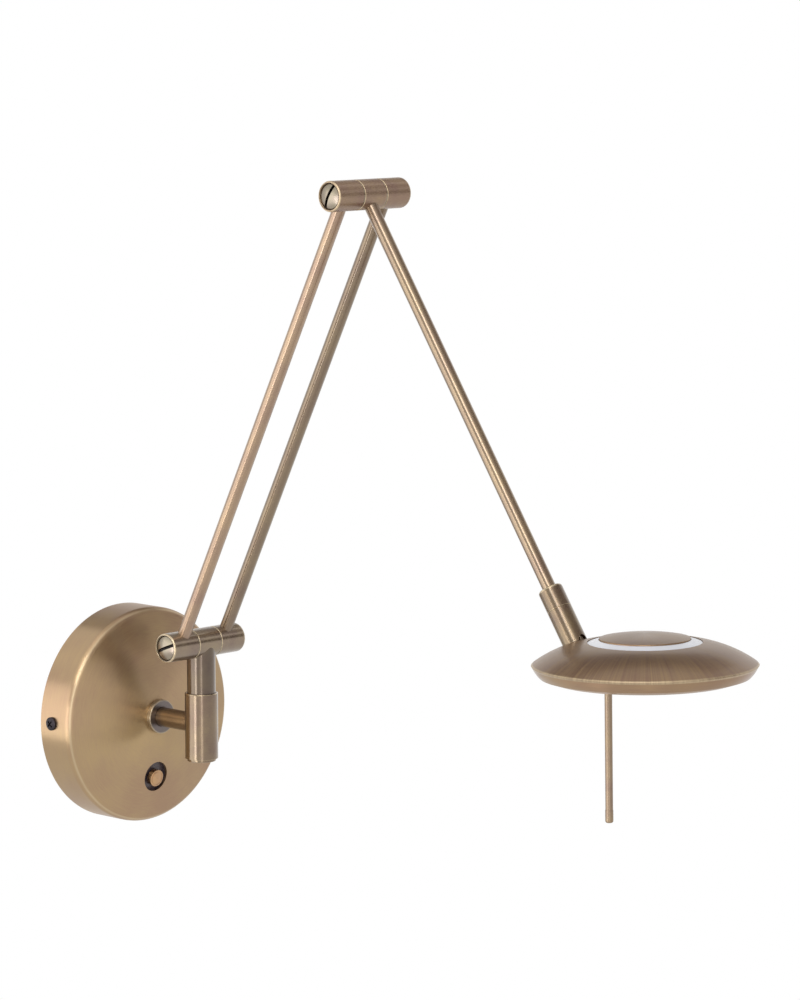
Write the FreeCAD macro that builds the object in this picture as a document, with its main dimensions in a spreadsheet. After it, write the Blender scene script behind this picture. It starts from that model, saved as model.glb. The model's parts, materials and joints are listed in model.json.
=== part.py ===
import FreeCAD, Part
import Sketcher
import math
import os
import re

# Wall reading lamp: a round canopy, a swivel post, a two-rod lower arm, a one-rod upper arm
# and a flat round head that swivels and tilts.
# Millimetres. The origin is the centre of the canopy's back on the wall plane, which is Y = 0.
# The lamp stands out along -Y, and +Z is up. At rest both arms lie in the plane X = 0.

# Driving sizes: alias, value, what it is
SIZES = [
    ("fit_gap", 0.05, "radial gap of a running or push fit"),
    ("side_gap", 0.1, "end gap between faces that turn on each other"),
    ("part_gap", 0.3, "gap between pieces that only pass each other"),
    ("overrun", 1.0, "how far a cut reaches past the metal"),
    ("edge_break", 0.4, "small chamfer of turned edges"),
    # canopy
    ("canopy_radius", 67.2, "canopy outside"),
    ("canopy_depth", 25.0, "wall to the corner of side and domed face"),
    ("dome_rise", 9.5, "height of the dome's seat over that corner"),
    ("canopy_wall", 1.5, "canopy metal thickness"),
    ("dome_bend", 340.0, "radius of the dome's curve"),
    ("canopy_round", 4.5, "rounded front edge"),
    ("seat_radius", 12.0, "flat seat at the dome's centre"),
    # canopy side screws
    ("side_screw_height", 10.5, "wall to the side screws' axis"),
    ("side_screw_lift", 1.3, "side screws over the canopy's centre"),
    ("side_screw_radius", 2.0, "M4 thread"),
    ("side_head_radius", 4.1, "pan head"),
    ("side_head_rise", 1.5, "straight part of the head"),
    ("side_head_crown", 0.8, "crown over the straight part"),
    ("side_screw_reach", 4.0, "thread past the bracket tab's face"),
    ("cross_width", 1.1, "arm of the cross recess"),
    ("cross_reach", 2.4, "half length of the cross recess"),
    ("cross_depth", 1.3, "depth of the cross recess"),
    # wall bracket
    ("plate_thick", 2.0, "bracket sheet"),
    ("strap_width", 24.0, "strap between the side tabs"),
    ("tab_height", 15.0, "bent tabs that take the side screws"),
    ("wing_half", 35.0, "upper wing, half width"),
    ("wing_top", 46.0, "upper wing's edge"),
    ("low_wing_half", 46.0, "lower wing, half width"),
    ("low_wing_drop", 32.0, "lower wing's edge"),
    ("slot_side", 35.0, "slot centre from the middle"),
    ("slot_width", 5.0, "wall screw slot"),
    ("slot_length", 12.0, "wall screw slot, end to end"),
    ("cable_hole_radius", 8.0, "cable hole in the bracket"),
    ("grommet_bore", 4.5, "grommet, inside radius"),
    ("grommet_flange", 2.0, "flange past the hole"),
    ("grommet_flange_thick", 1.5, "flange thickness"),
    # light driver, terminal block, earth screw
    ("driver_half", 26.0, "driver box, half length"),
    ("driver_depth", 28.0, "driver box, width"),
    ("driver_height", 17.0, "driver box, height"),
    ("driver_centre", 29.0, "driver centre over the canopy's centre"),
    ("driver_round", 1.5, "driver box corners"),
    ("ear_half", 34.0, "driver ears, half length"),
    ("ear_width", 14.0, "driver ears, width"),
    ("ear_thick", 2.5, "driver ears, thickness"),
    ("ear_screw_side", 30.8, "driver screws from the middle"),
    ("small_screw_radius", 1.5, "M3 thread"),
    ("small_head_radius", 2.8, "M3 head"),
    ("small_head_rise", 1.8, "M3 head height"),
    ("terminal_side", 31.0, "terminal block from the middle"),
    ("terminal_drop", 22.0, "terminal block and earth screw under the centre"),
    ("terminal_length", 26.0, "terminal block"),
    ("terminal_width", 14.0, "terminal block"),
    ("terminal_height", 13.0, "terminal block"),
    ("terminal_pitch", 8.0, "pole spacing"),
    ("terminal_hole", 1.7, "wire and screw holes, radius"),
    ("terminal_screw_depth", 4.0, "depth of the screw wells"),
    ("earth_head_radius", 4.0, "earth screw head"),
    ("earth_head_rise", 2.4, "earth screw head height"),
    # stub between canopy and swivel
    ("collar_radius", 10.5, "collar on the canopy"),
    ("collar_rise", 3.0, "collar thickness"),
    ("stub_radius", 6.0, "stub tube"),
    ("stub_bore", 3.5, "wire way in the stub"),
    ("thread_radius", 5.0, "threaded end of the stub"),
    ("thread_tail", 2.5, "thread past the nut"),
    ("tooth_washer_radius", 8.0, "tooth washer"),
    ("tooth_washer_thick", 0.8, "tooth washer"),
    ("lock_nut_width", 14.0, "lock nut across flats"),
    ("lock_nut_thick", 4.0, "lock nut"),
    # dimmer and its button
    ("button_edge", 28.6, "canopy side to the centre of the button's hole"),
    ("button_low", 0.9, "button under the centre of its hole"),
    ("recess_radius", 9.35, "round hole in the canopy"),
    ("bezel_sink", 2.2, "bezel rim under the dome"),
    ("bezel_gap", 0.2, "bezel cup past the hole's edge"),
    ("bezel_wall", 1.8, "bezel wall"),
    ("bezel_floor", 1.0, "bezel floor"),
    ("bezel_depth", 1.2, "bezel rim to its floor"),
    ("housing_width", 22.0, "dimmer housing, square"),
    ("housing_height", 13.0, "dimmer housing"),
    ("housing_well", 6.5, "well for the button's stem"),
    ("button_radius", 5.25, "button cap"),
    ("button_rise", 3.4, "button cap height"),
    ("button_crown", 0.35, "crown of the cap"),
    ("button_lift", 1.3, "cap over the bezel's floor, at rest"),
    ("stem_radius", 3.0, "button stem"),
    ("stem_length", 7.0, "button stem"),
    ("ring_cut_radius", 4.0, "engraved ring, inside"),
    ("ring_cut_width", 0.35, "engraved ring"),
    ("ring_cut_depth", 0.25, "engraved ring"),
    # swivel
    ("post_out", 72.4, "wall to the swivel axis"),
    ("barrel_radius", 10.2, "fixed barrel, outside"),
    ("barrel_top", 19.6, "barrel's upper rim over the stub's axis"),
    ("barrel_drop", 21.1, "barrel's lower rim under the stub's axis"),
    ("end_cap_radius", 8.9, "end cap under the barrel"),
    ("end_cap_thick", 1.7, "end cap under the barrel"),
    ("end_cap_spigot", 1.5, "end cap's spigot in the barrel"),
    ("end_cap_round", 0.5, "rounded lower edge"),
    ("floor_drop", 9.0, "barrel's inner floor under the stub's axis"),
    ("floor_thick", 3.0, "barrel's inner floor"),
    ("cavity_radius", 8.0, "screw room under the floor"),
    ("thrust_thick", 0.4, "thrust washer"),
    ("post_radius", 8.75, "swivel post, outside"),
    ("post_bore", 6.0, "swivel post, inside"),
    ("post_base", 4.5, "tapped base of the post"),
    ("window_height", 7.6, "wire window in the post"),
    ("window_front", 0.5, "window reaches this far past the axis"),
    ("post_screw_radius", 3.0, "M6 thread"),
    ("post_head_radius", 5.0, "M6 head"),
    ("post_head_rise", 3.0, "M6 head height"),
    ("disc_washer_radius", 6.0, "disc washer"),
    ("disc_washer_thick", 1.0, "disc washer"),
    # hinges
    ("hinge_height", 50.65, "lower hinge over the stub's axis"),
    ("hinge_radius", 9.0, "hinge barrels, outside"),
    ("hinge_half", 30.25, "half length of a hinge"),
    ("knuckle_half", 9.0, "half length of the middle knuckle"),
    ("knuckle_bore", 6.5, "knuckle, inside"),
    ("bush_flange", 0.55, "bush flange thickness"),
    ("bush_flange_inset", 0.25, "flange edge under the barrel's surface"),
    ("bush_length", 4.0, "bush in the knuckle"),
    ("bolt_radius", 3.0, "hinge screw shank"),
    ("bolt_head_radius", 7.2, "hinge screw head"),
    ("bolt_head_gap", 0.35, "head to the counterbore's wall"),
    ("bolt_head_seat", 5.5, "depth of the counterbore"),
    ("bolt_head_inset", 0.7, "head edge under the rim"),
    ("bolt_head_crown", 1.7, "dome of the head"),
    ("bolt_tail", 3.2, "shank end to the closed end's face"),
    ("chamber_radius", 6.0, "wire room in the far barrel"),
    ("chamber_end", 9.0, "closed metal at the far end"),
    ("driver_slot_width", 1.9, "screwdriver slot"),
    ("driver_slot_depth", 2.6, "screwdriver slot"),
    ("lower_slot_turn", 131.5, "degrees, slot of the lower screw"),
    ("elbow_slot_turn", 91.0, "degrees, slot of the elbow screw"),
    ("near_round", 1.0, "rounded rim round the screw"),
    ("far_round", 2.2, "rounded closed end"),
    # arms
    ("rod_radius", 4.0, "arm rods"),
    ("rod_bore", 2.8, "arm rods, inside"),
    ("rod_side", 17.75, "lower rods from the middle plane"),
    ("rod_seat", 6.6, "hinge axis to the rod's end"),
    ("rod_floor", 5.2, "hinge axis to the rod hole's floor"),
    ("lower_arm", 312.6, "lower hinge to elbow"),
    ("lower_angle", 63.35, "degrees, lower arm over level"),
    ("upper_arm", 282.4, "elbow to tilt pin"),
    ("upper_angle", 56.42, "degrees, upper arm under level"),
    # head joint
    ("joint_radius", 7.15, "sleeve and tube, outside"),
    ("joint_parting", 9.7, "tilt pin to the parting line"),
    ("sleeve_length", 13.6, "sleeve over the parting line"),
    ("sleeve_round", 1.6, "shoulder of the sleeve"),
    ("sleeve_floor", 4.4, "solid foot of the sleeve"),
    ("tube_bore", 5.2, "joint tube, inside"),
    ("tube_floor", 2.8, "joint tube's top wall"),
    ("tube_drop", 11.4, "tilt pin to the plane of the tube's end"),
    ("relief_radius", 11.35, "rounded inner end, about the pin"),
    ("end_lean", 7.8, "degrees, lean of the tube's end, along the head's shell"),
    ("notch_half", 3.2, "outer notch, half width"),
    ("notch_height", 3.0, "outer notch"),
    ("slot_half", 2.6, "inner slot, half width"),
    ("slot_over", 1.6, "inner slot's end over the pin"),
    ("opening_half", 4.9, "inner opening for fitting the nipple, half width"),
    ("opening_low", 2.3, "opening's lower edge under the pin"),
    ("opening_high", 5.5, "opening's upper edge over the pin"),
    ("nipple_radius", 2.5, "hollow swivel nipple"),
    ("nipple_bore", 1.5, "swivel nipple, inside"),
    ("nipple_flange", 4.0, "nipple flange radius"),
    ("nipple_flange_thick", 1.6, "nipple flange"),
    ("nipple_washer_thick", 0.5, "washer under the tube's top wall"),
    ("pin_radius", 1.5, "tilt pin"),
    ("pin_head_radius", 2.4, "tilt pin head"),
    ("pin_head_thick", 1.0, "tilt pin head"),
    ("pin_wall", 0.6, "closed metal at the pin's end"),
    ("pin_head_sink", 1.1, "head seat under the tube's surface"),
    ("pin_slot_width", 0.7, "slot of the tilt pin"),
    ("pin_slot_depth", 0.5, "slot of the tilt pin"),
    ("lug_thick", 4.4, "head lug"),
    ("lug_half", 3.0, "head lug, half width"),
    ("lug_eye", 3.3, "round end of the lug"),
    ("spacer_radius", 2.8, "spacers beside the lug"),
    ("spacer_length", 2.0, "spacers beside the lug"),
    # head
    ("pin_inset", 5.6, "tilt pin inside the head's rim"),
    ("head_drop", 15.8, "tilt pin to the rim's plane"),
    ("head_tip", -1.1, "degrees, the head's lean at rest"),
    ("head_radius", 63.0, "rim of the head"),
    ("rim_thick", 1.0, "rim under and over its widest line"),
    ("rim_inset", 0.65, "rim faces to the widest line"),
    ("shell_wall", 1.5, "head shells"),
    ("edge_slope", 35.34, "degrees, upper shell's slope at its edge"),
    ("shell_bend", 69.0, "radius of the upper shell's curve"),
    ("band_width", 30.35, "upper shell, edge to its opening"),
    ("ring_width", 6.6, "opening's edge to the centre cap"),
    ("cap_edge_over", 2.2, "centre cap's edge over the shell's opening"),
    ("cap_crown", 2.6, "dome of the centre cap"),
    ("cap_skirt", 2.0, "centre cap's rim"),
    ("cap_boss", 4.5, "boss under the cap"),
    ("cap_boss_drop", 2.5, "boss length"),
    ("stud_radius", 2.0, "stud between carrier and cap"),
    ("stud_bite", 2.2, "stud in the boss"),
    ("ring_sink", 0.45, "white ring under the shell's edge"),
    ("ring_slope", 1.9, "rise of the white ring to the cap"),
    ("ring_gap", 0.2, "dark line each side of the white ring"),
    ("ring_thick", 1.9, "white ring, thickness"),
    ("ring_flange", 2.6, "its flange under the shell"),
    ("ring_inner_flange", 3.0, "its flange under the cap"),
    ("carrier_room", 2.85, "carrier plate to the upper shell's inside"),
    ("carrier_thick", 2.0, "carrier plate"),
    ("board_thick", 1.6, "light boards"),
    ("board_inset", 1.5, "lower light board inside the opening below"),
    ("up_board_over", 1.0, "uplight board past the opening round the cap"),
    ("up_board_under", 1.9, "uplight board under the cap"),
    ("chip_width", 3.0, "light chips"),
    ("chip_thick", 0.8, "light chips"),
    ("chip_inset", 8.0, "lower chips' outer circle inside their board"),
    ("inner_circle_share", 0.6, "lower chips' inner circle, as a share of the guide rod's offset"),
    ("side_inset", 4.4, "rim to the end of the lower shell's side"),
    ("under_drop", 6.3, "lower shell there"),
    ("side_bend", 18.0, "radius of its side's curve"),
    ("belly_width", 6.6, "sloping band under the side"),
    ("belly_sag", 2.1, "drop of that band"),
    ("flat_width", 6.5, "flat band to the opening below"),
    ("flat_sag", 0.2, "drop of that band"),
    ("ledge_thick", 0.8, "ledge under the lower diffuser"),
    ("ledge_width", 2.7, "ledge under the lower diffuser"),
    ("diffuser_thick", 2.0, "lower diffuser"),
    ("lip_width", 4.5, "lower shell's inner lip"),
    ("lip_screw_edge", 1.9, "lip's edge to the screws through it"),
    ("shell_screw_radius", 0.9, "these screws"),
    ("shell_head_radius", 1.4, "their heads"),
    ("shell_head_rise", 0.8, "their heads"),
    ("foot_half", 8.5, "lug foot, half width"),
    ("foot_length", 12.0, "lug foot"),
    ("foot_thick", 2.0, "lug foot"),
    ("foot_screw_side", 5.4, "foot screws from the middle"),
    # guide rod
    ("guide_radius", 2.15, "guide rod"),
    ("guide_inset", 18.7, "guide rod inside the opening below"),
    ("guide_drop", 92.1, "guide rod's tip under the rim's plane"),
    ("guide_tail", 3.5, "guide rod over the carrier"),
    ("guide_nut_width", 7.0, "guide rod nut across flats"),
    ("guide_nut_thick", 1.5, "guide rod nut, thinner than the board beside it"),
    ("guide_collar_radius", 5.0, "collar under the diffuser"),
    ("guide_collar_thick", 2.0, "collar under the diffuser"),
    ("tip_radius", 2.3, "tip of the guide rod"),
    ("tip_length", 7.2, "tip of the guide rod"),
    ("tip_spigot", 1.3, "rod's thin end in the tip, radius"),
    ("tip_floor", 2.4, "closed end of the tip"),
]
# Counts: alias, value, what it is
COUNTS = [
    ("up_chip_count", 12, "uplight chips"),
    ("outer_chip_count", 18, "lower chips, outer circle"),
    ("inner_chip_count", 8, "lower chips, inner circle"),
    ("shell_screw_count", 3, "screws in the lower shell"),
]

doc = FreeCAD.newDocument("wall_reading_lamp")
sheet = doc.addObject("Spreadsheet::Sheet", "sizes")
for row, (alias, value, meaning) in enumerate(SIZES + COUNTS, start=1):
    sheet.set(f"A{row}", meaning)
    sheet.set(f"B{row}", str(value))
    sheet.setAlias(f"B{row}", alias)
doc.recompute()
ALIASES = {alias for alias, value, meaning in SIZES + COUNTS}
PIECES = []


def cell(text):
    """The expression with each alias written as a cell of the sheet."""
    return re.sub(r"[a-z_]\w*", lambda m: ("sizes." if m[0] in ALIASES else "") + m[0], text)


def worth(text):
    """What an expression over the sheet comes to, as a number."""
    return float(sheet.evalExpression(cell(text)))


def bind(thing, path, text):
    """Ties one property to the sheet."""
    thing.setExpression(path, cell(text))


# Places: x, y, z of the local origin and the turn about X, all as expressions.
# In the wall frame local Z points out of the wall and local Y up.
ELBOW_Y = "-(post_out + lower_arm * cos(lower_angle))"
ELBOW_Z = "(hinge_height + lower_arm * sin(lower_angle))"
PIN_Y = f"({ELBOW_Y} - upper_arm * cos(upper_angle))"
PIN_Z = f"({ELBOW_Z} - upper_arm * sin(upper_angle))"
WALL = ("0", "0", "0", "90")
# The button's frame has its origin on the dome, at the centre of the button's hole. Its Z is square
# to the dome there.
DOME_TOP = "(canopy_depth + dome_rise)"
DOME_REACH = "(canopy_radius - seat_radius)"
BUTTON_DROP = "(canopy_radius - button_edge)"
BUTTON_REACH = f"({BUTTON_DROP} - seat_radius)"
BUTTON_DEPTH = (f"({DOME_TOP} - dome_rise * {BUTTON_REACH} / {DOME_REACH}"
                f" + {BUTTON_REACH} * button_edge / (2 * dome_bend))")
BUTTON = ("0", f"-{BUTTON_DEPTH}", f"-{BUTTON_DROP}", f"90 + atan(dome_rise / {DOME_REACH}) / 1 deg")
POST = ("0", "-post_out", "0", "0")
# In the four hinge frames the origin is on the hinge's axis, which is local X,
# and local Z points along the rod or post that the piece holds.
POST_HINGE = ("0", "-post_out", "hinge_height", "180")
LOWER = ("0", "-post_out", "hinge_height", "90 - lower_angle")
LOWER_BACK = ("0", ELBOW_Y, ELBOW_Z, "270 - lower_angle")
UPPER_BACK = ("0", ELBOW_Y, ELBOW_Z, "90 + upper_angle")
# The joint frame has its origin at the tilt pin and local Z up the upper rod.
JOINT = ("0", PIN_Y, PIN_Z, "upper_angle - 90")
# The head frame has its origin at the centre of the rim's plane and local Z up.
HEAD_OUT = "(head_radius - pin_inset)"
HEAD = ("0", f"{PIN_Y} - {HEAD_OUT}", f"{PIN_Z} - head_drop", "head_tip")


def place(thing, where):
    """Puts a piece at its frame."""
    x, y, z, turn = where
    axis = FreeCAD.Vector(1, 0, 0)
    base = FreeCAD.Vector(worth(x), worth(y), worth(z))
    thing.Placement = FreeCAD.Placement(base, FreeCAD.Rotation(axis, worth(turn)))
    for path, text in zip(("Base.x", "Base.y", "Base.z", "Rotation.Angle"), where):
        bind(thing, f"Placement.{path}", text)


def body(label, where):
    """An empty sub-part in its frame."""
    made = doc.addObject("PartDesign::Body", label)
    made.Label = label
    made.AllowCompound = True
    place(made, where)
    PIECES.append(made)
    return made


def arc_between(start, end, radius, left):
    """Circle centre, start angle and end angle of the short arc that turns left, or right."""
    across = end - start
    reach = math.sqrt(max(radius**2 - (across.Length / 2) ** 2, 0))
    side = FreeCAD.Vector(-across.y, across.x, 0).normalize() * reach
    centre = (start + end) * 0.5 + (side if left else side * -1)
    first, last = (start, end) if left else (end, start)
    angles = [math.atan2((p - centre).y, (p - centre).x) for p in (first, last)]
    return centre, angles[0], angles[1]


def add_outline(sketch, points):
    """A closed outline. Each point is x, y and, where an arc leaves it, radius and 'left' or
    'right'. Every point and radius is tied to the sheet."""
    spots = [FreeCAD.Vector(worth(p[0]), worth(p[1]), 0) for p in points]
    count = len(points)
    ends = []
    for i, point in enumerate(points):
        start, end = spots[i], spots[(i + 1) % count]
        if len(point) == 2:
            edge = sketch.addGeometry(Part.LineSegment(start, end), False)
            ends.append((edge, 1, 2))
            continue
        radius, left = worth(point[2]), point[3] == "left"
        centre, a, b = arc_between(start, end, radius, left)
        circle = Part.Circle(centre, FreeCAD.Vector(0, 0, 1), radius)
        edge = sketch.addGeometry(Part.ArcOfCircle(circle, a, b), False)
        ends.append((edge, 1, 2) if left else (edge, 2, 1))
    for i in range(count):
        edge, first, last = ends[i]
        after, after_first, after_last = ends[(i + 1) % count]
        sketch.addConstraint(Sketcher.Constraint("Coincident", edge, last, after, after_first))
    for (edge, first, last), point, spot in zip(ends, points, spots):
        for kind, text, value in (("DistanceX", point[0], spot.x), ("DistanceY", point[1], spot.y)):
            made = sketch.addConstraint(Sketcher.Constraint(kind, -1, 1, edge, first, value))
            bind(sketch, f"Constraints[{made}]", text)
        if len(point) > 2:
            rule = Sketcher.Constraint("Radius", edge, worth(point[2]))
            bind(sketch, f"Constraints[{sketch.addConstraint(rule)}]", point[2])


def add_circle(sketch, x, y, radius):
    """A circle tied to the sheet."""
    centre = FreeCAD.Vector(worth(x), worth(y), 0)
    edge = sketch.addGeometry(Part.Circle(centre, FreeCAD.Vector(0, 0, 1), worth(radius)), False)
    rules = [
        (Sketcher.Constraint("DistanceX", -1, 1, edge, 3, worth(x)), x),
        (Sketcher.Constraint("DistanceY", -1, 1, edge, 3, worth(y)), y),
        (Sketcher.Constraint("Radius", edge, worth(radius)), radius),
    ]
    for rule, text in rules:
        bind(sketch, f"Constraints[{sketch.addConstraint(rule)}]", text)


def sketch_on(owner, role, loops, shift=("0", "0", "0"), turn="0"):
    """A sketch on one of the piece's own planes. A loop is an outline's list of points, or the
    x, y and radius of a circle. shift moves it in the plane and off it, turn rotates it there."""
    sketch = owner.newObject("Sketcher::SketchObject", f"{owner.Label}_sketch")
    plane = next(f for f in owner.Origin.OriginFeatures if f.Role == role)
    sketch.AttachmentSupport = (plane, "")
    sketch.MapMode = "FlatFace"
    if shift != ("0", "0", "0") or turn != "0":
        base = FreeCAD.Vector(*[worth(text) for text in shift])
        spin = FreeCAD.Rotation(FreeCAD.Vector(0, 0, 1), worth(turn))
        sketch.AttachmentOffset = FreeCAD.Placement(base, spin)
        for letter, text in zip("xyz", shift):
            bind(sketch, f"AttachmentOffset.Base.{letter}", text)
        if turn != "0":
            bind(sketch, "AttachmentOffset.Rotation.Angle", turn)
    for loop in loops:
        if isinstance(loop, tuple):
            add_circle(sketch, *loop)
        else:
            add_outline(sketch, loop)
    return sketch


def finish(owner, feature, cuts):
    """Recomputes, and stops if the step did nothing or failed."""
    before = owner.Shape.Volume if owner.Shape and not owner.Shape.isNull() else 0.0
    doc.recompute()
    after = owner.Shape.Volume
    if "Invalid" in feature.State or "Error" in feature.State:
        raise RuntimeError(f"{owner.Label}: {feature.Name} failed")
    if (after >= before) if cuts else (after <= before):
        raise RuntimeError(f"{owner.Label}: {feature.Name} changed nothing")
    return feature


def turned(owner, points, axis="V_Axis", shift=("0", "0", "0"), role="XZ_Plane"):
    """A solid of revolution. The outline is in the XZ plane: V_Axis is local Z, H_Axis local X."""
    feature = owner.newObject("PartDesign::Revolution", f"{owner.Label}_turned")
    feature.Profile = sketch_on(owner, role, [points], shift)
    feature.ReferenceAxis = (feature.Profile[0], [axis])
    feature.Angle = 360
    return finish(owner, feature, cuts=False)


def padded(owner, loops, length, role="XY_Plane", shift=("0", "0", "0"), middle=False):
    """An extrusion of the loops, upwards from the plane or to both sides of it."""
    feature = owner.newObject("PartDesign::Pad", f"{owner.Label}_pad")
    feature.Profile = sketch_on(owner, role, loops, shift)
    feature.SideType = "Symmetric" if middle else "One side"
    bind(feature, "Length", length)
    return finish(owner, feature, cuts=False)


def pocketed(owner, loops, length, role="XY_Plane", shift=("0", "0", "0"), turn="0",
             middle=False, along=False):
    """A cut against the plane's normal, along it, or to both sides of the plane."""
    feature = owner.newObject("PartDesign::Pocket", f"{owner.Label}_cut")
    feature.Profile = sketch_on(owner, role, loops, shift, turn)
    feature.SideType = "Symmetric" if middle else "One side"
    feature.Reversed = along
    bind(feature, "Length", length)
    return finish(owner, feature, cuts=True)


def dressed(owner, kind, size, wanted, fills=False):
    """A fillet or chamfer of the edges that wanted() picks. In an inner corner it fills."""
    base = owner.Tip
    names = [f"Edge{i}" for i, edge in enumerate(base.Shape.Edges, start=1) if wanted(edge)]
    if not names:
        raise RuntimeError(f"{owner.Label}: no edge to finish")
    feature = owner.newObject(f"PartDesign::{kind}", f"{owner.Label}_{kind.lower()}")
    feature.Base = (base, names)
    bind(feature, "Radius" if kind == "Fillet" else "Size", size)
    return finish(owner, feature, cuts=not fills)


def circle_at(radius, along, axis="z"):
    """Picks full circles of that radius whose centre lies there along the local axis."""
    def wanted(edge):
        if edge.Degenerated or not isinstance(edge.Curve, Part.Circle):
            return False
        curve = edge.Curve
        spot = getattr(curve.Center, axis)
        close = 0.01 * worth("edge_break")
        return abs(curve.Radius - worth(radius)) < close and abs(spot - worth(along)) < close
    return wanted


def mirrored(owner, features, role="YZ_Plane"):
    """The features again on the other side of one of the piece's planes."""
    feature = owner.newObject("PartDesign::Mirrored", f"{owner.Label}_mirror")
    feature.Originals = features
    plane = next(f for f in owner.Origin.OriginFeatures if f.Role == role)
    feature.MirrorPlane = (plane, [""])
    owner.Tip = feature
    return finish(owner, feature, cuts=False)


def ringed(owner, features, count):
    """The features again round local Z."""
    feature = owner.newObject("PartDesign::PolarPattern", f"{owner.Label}_ring")
    feature.Originals = features
    axis = next(f for f in owner.Origin.OriginFeatures if f.Role == "Z_Axis")
    feature.Axis = (axis, [""])
    feature.Angle = 360
    bind(feature, "Occurrences", count)
    owner.Tip = feature
    return feature


def box_loop(x0, x1, y0, y1):
    """A rectangle's outline."""
    return [(x0, y0), (x1, y0), (x1, y1), (x0, y1)]


def tube_points(inner, outer, low, high):
    """A plain ring's section."""
    return [(inner, low), (outer, low), (outer, high), (inner, high)]


def hex_points(width, x="0", y="0"):
    """A hexagon of that width across flats."""
    corner = f"{width} / 2 / cos(30)"
    return [(f"{x} + {corner} * cos({60 * k})", f"{y} + {corner} * sin({60 * k})") for k in range(6)]


# Canopy: a spun cap with a shallow dome, a flat seat at its centre and a hole for the button
canopy = body("canopy", WALL)
INNER = "(canopy_radius - canopy_wall)"
turned(canopy, [
    ("canopy_radius", "0"),
    ("canopy_radius", "canopy_depth", "dome_bend", "left"),
    ("seat_radius", DOME_TOP),
    ("thread_radius + fit_gap", DOME_TOP),
    ("thread_radius + fit_gap", f"{DOME_TOP} - canopy_wall"),
    ("seat_radius", f"{DOME_TOP} - canopy_wall", "dome_bend", "right"),
    (INNER, f"canopy_depth - canopy_wall * (1 - dome_rise / {DOME_REACH})"),
    (INNER, "0"),
])
dressed(canopy, "Fillet", "canopy_round", circle_at("canopy_radius", "canopy_depth"))
dressed(canopy, "Fillet", "canopy_round - canopy_wall",
        circle_at(INNER, f"canopy_depth - canopy_wall * (1 - dome_rise / {DOME_REACH})"), fills=True)
pocketed(canopy, [("0", f"-{BUTTON_DROP}", "recess_radius")], f"{DOME_TOP}", shift=("0", "0", DOME_TOP))
SCREW_HOLE = ("side_screw_lift", "side_screw_height")
pocketed(canopy, [(*SCREW_HOLE, "side_screw_radius + side_gap")],
         "2 * canopy_radius + overrun", role="YZ_Plane", middle=True)

# Canopy screws: black pan heads with a cross recess, one each side
TAB_FACE = "(sqrt((canopy_radius - canopy_wall)^2 - (strap_width / 2)^2) - part_gap)"
HEAD_FACE = "(canopy_radius + side_head_rise)"
HEAD_TOP = f"({HEAD_FACE} + side_head_crown)"
canopy_screws = body("canopy_screws", WALL)
screw = turned(canopy_screws, [
    (f"{TAB_FACE} - side_screw_reach", "0"),
    (HEAD_TOP, "0", "(side_head_radius^2 + side_head_crown^2) / (2 * side_head_crown)", "left"),
    (HEAD_FACE, "side_head_radius"),
    ("canopy_radius", "side_head_radius"),
    ("canopy_radius", "side_screw_radius"),
    (f"{TAB_FACE} - side_screw_reach", "side_screw_radius"),
], axis="H_Axis", shift=("0", "side_screw_height", "-side_screw_lift"))
ARM, HALF = "cross_reach", "cross_width / 2"
cross = pocketed(canopy_screws, [[
    (ARM, f"-{HALF}"), (ARM, HALF), (HALF, HALF), (HALF, ARM), (f"-{HALF}", ARM), (f"-{HALF}", HALF),
    (f"-{ARM}", HALF), (f"-{ARM}", f"-{HALF}"), (f"-{HALF}", f"-{HALF}"), (f"-{HALF}", f"-{ARM}"),
    (HALF, f"-{ARM}"), (HALF, f"-{HALF}"),
]], "cross_depth", role="YZ_Plane", shift=(*SCREW_HOLE, HEAD_TOP), turn="45")
mirrored(canopy_screws, [screw, cross])

# Wall bracket: a strap with bent tabs, and wings that carry the driver and the terminals
wall_bracket = body("wall_bracket", WALL)
HALF_STRAP = "strap_width / 2"
padded(wall_bracket, [[
    (TAB_FACE, f"-{HALF_STRAP}"), (TAB_FACE, HALF_STRAP), ("wing_half", HALF_STRAP),
    ("wing_half", "wing_top"), ("-wing_half", "wing_top"), ("-wing_half", HALF_STRAP),
    (f"-{TAB_FACE}", HALF_STRAP), (f"-{TAB_FACE}", f"-{HALF_STRAP}"),
    ("-low_wing_half", f"-{HALF_STRAP}"), ("-low_wing_half", "-low_wing_drop"),
    ("low_wing_half", "-low_wing_drop"), ("low_wing_half", f"-{HALF_STRAP}"),
]], "plate_thick")
TAB_BACK = f"({TAB_FACE} - plate_thick)"
padded(wall_bracket, [
    box_loop(TAB_BACK, TAB_FACE, f"-{HALF_STRAP}", HALF_STRAP),
    box_loop(f"-{TAB_FACE}", f"-{TAB_BACK}", f"-{HALF_STRAP}", HALF_STRAP),
], "tab_height")
pocketed(wall_bracket, [(*SCREW_HOLE, "side_screw_radius + fit_gap")],
         f"2 * {TAB_FACE} + overrun", role="YZ_Plane", middle=True)
pocketed(wall_bracket, [
    ("0", "0", "cable_hole_radius"),
    ("ear_screw_side", "driver_centre", "small_screw_radius + fit_gap"),
    ("-ear_screw_side", "driver_centre", "small_screw_radius + fit_gap"),
    ("terminal_side", "-terminal_drop", "side_screw_radius + fit_gap"),
], "plate_thick", along=True)
SLOT_FLAT = "(slot_length - slot_width) / 2"
pocketed(wall_bracket, [
    box_loop(f"{side}slot_side - {SLOT_FLAT}", f"{side}slot_side + {SLOT_FLAT}",
             "-slot_width / 2", "slot_width / 2")
    for side in ("", "-")
], "plate_thick", along=True)
for end in ("-", "+"):
    pocketed(wall_bracket, [
        (f"{side}slot_side {end} {SLOT_FLAT}", "0", "slot_width / 2") for side in ("", "-")
    ], "plate_thick", along=True)

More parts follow.
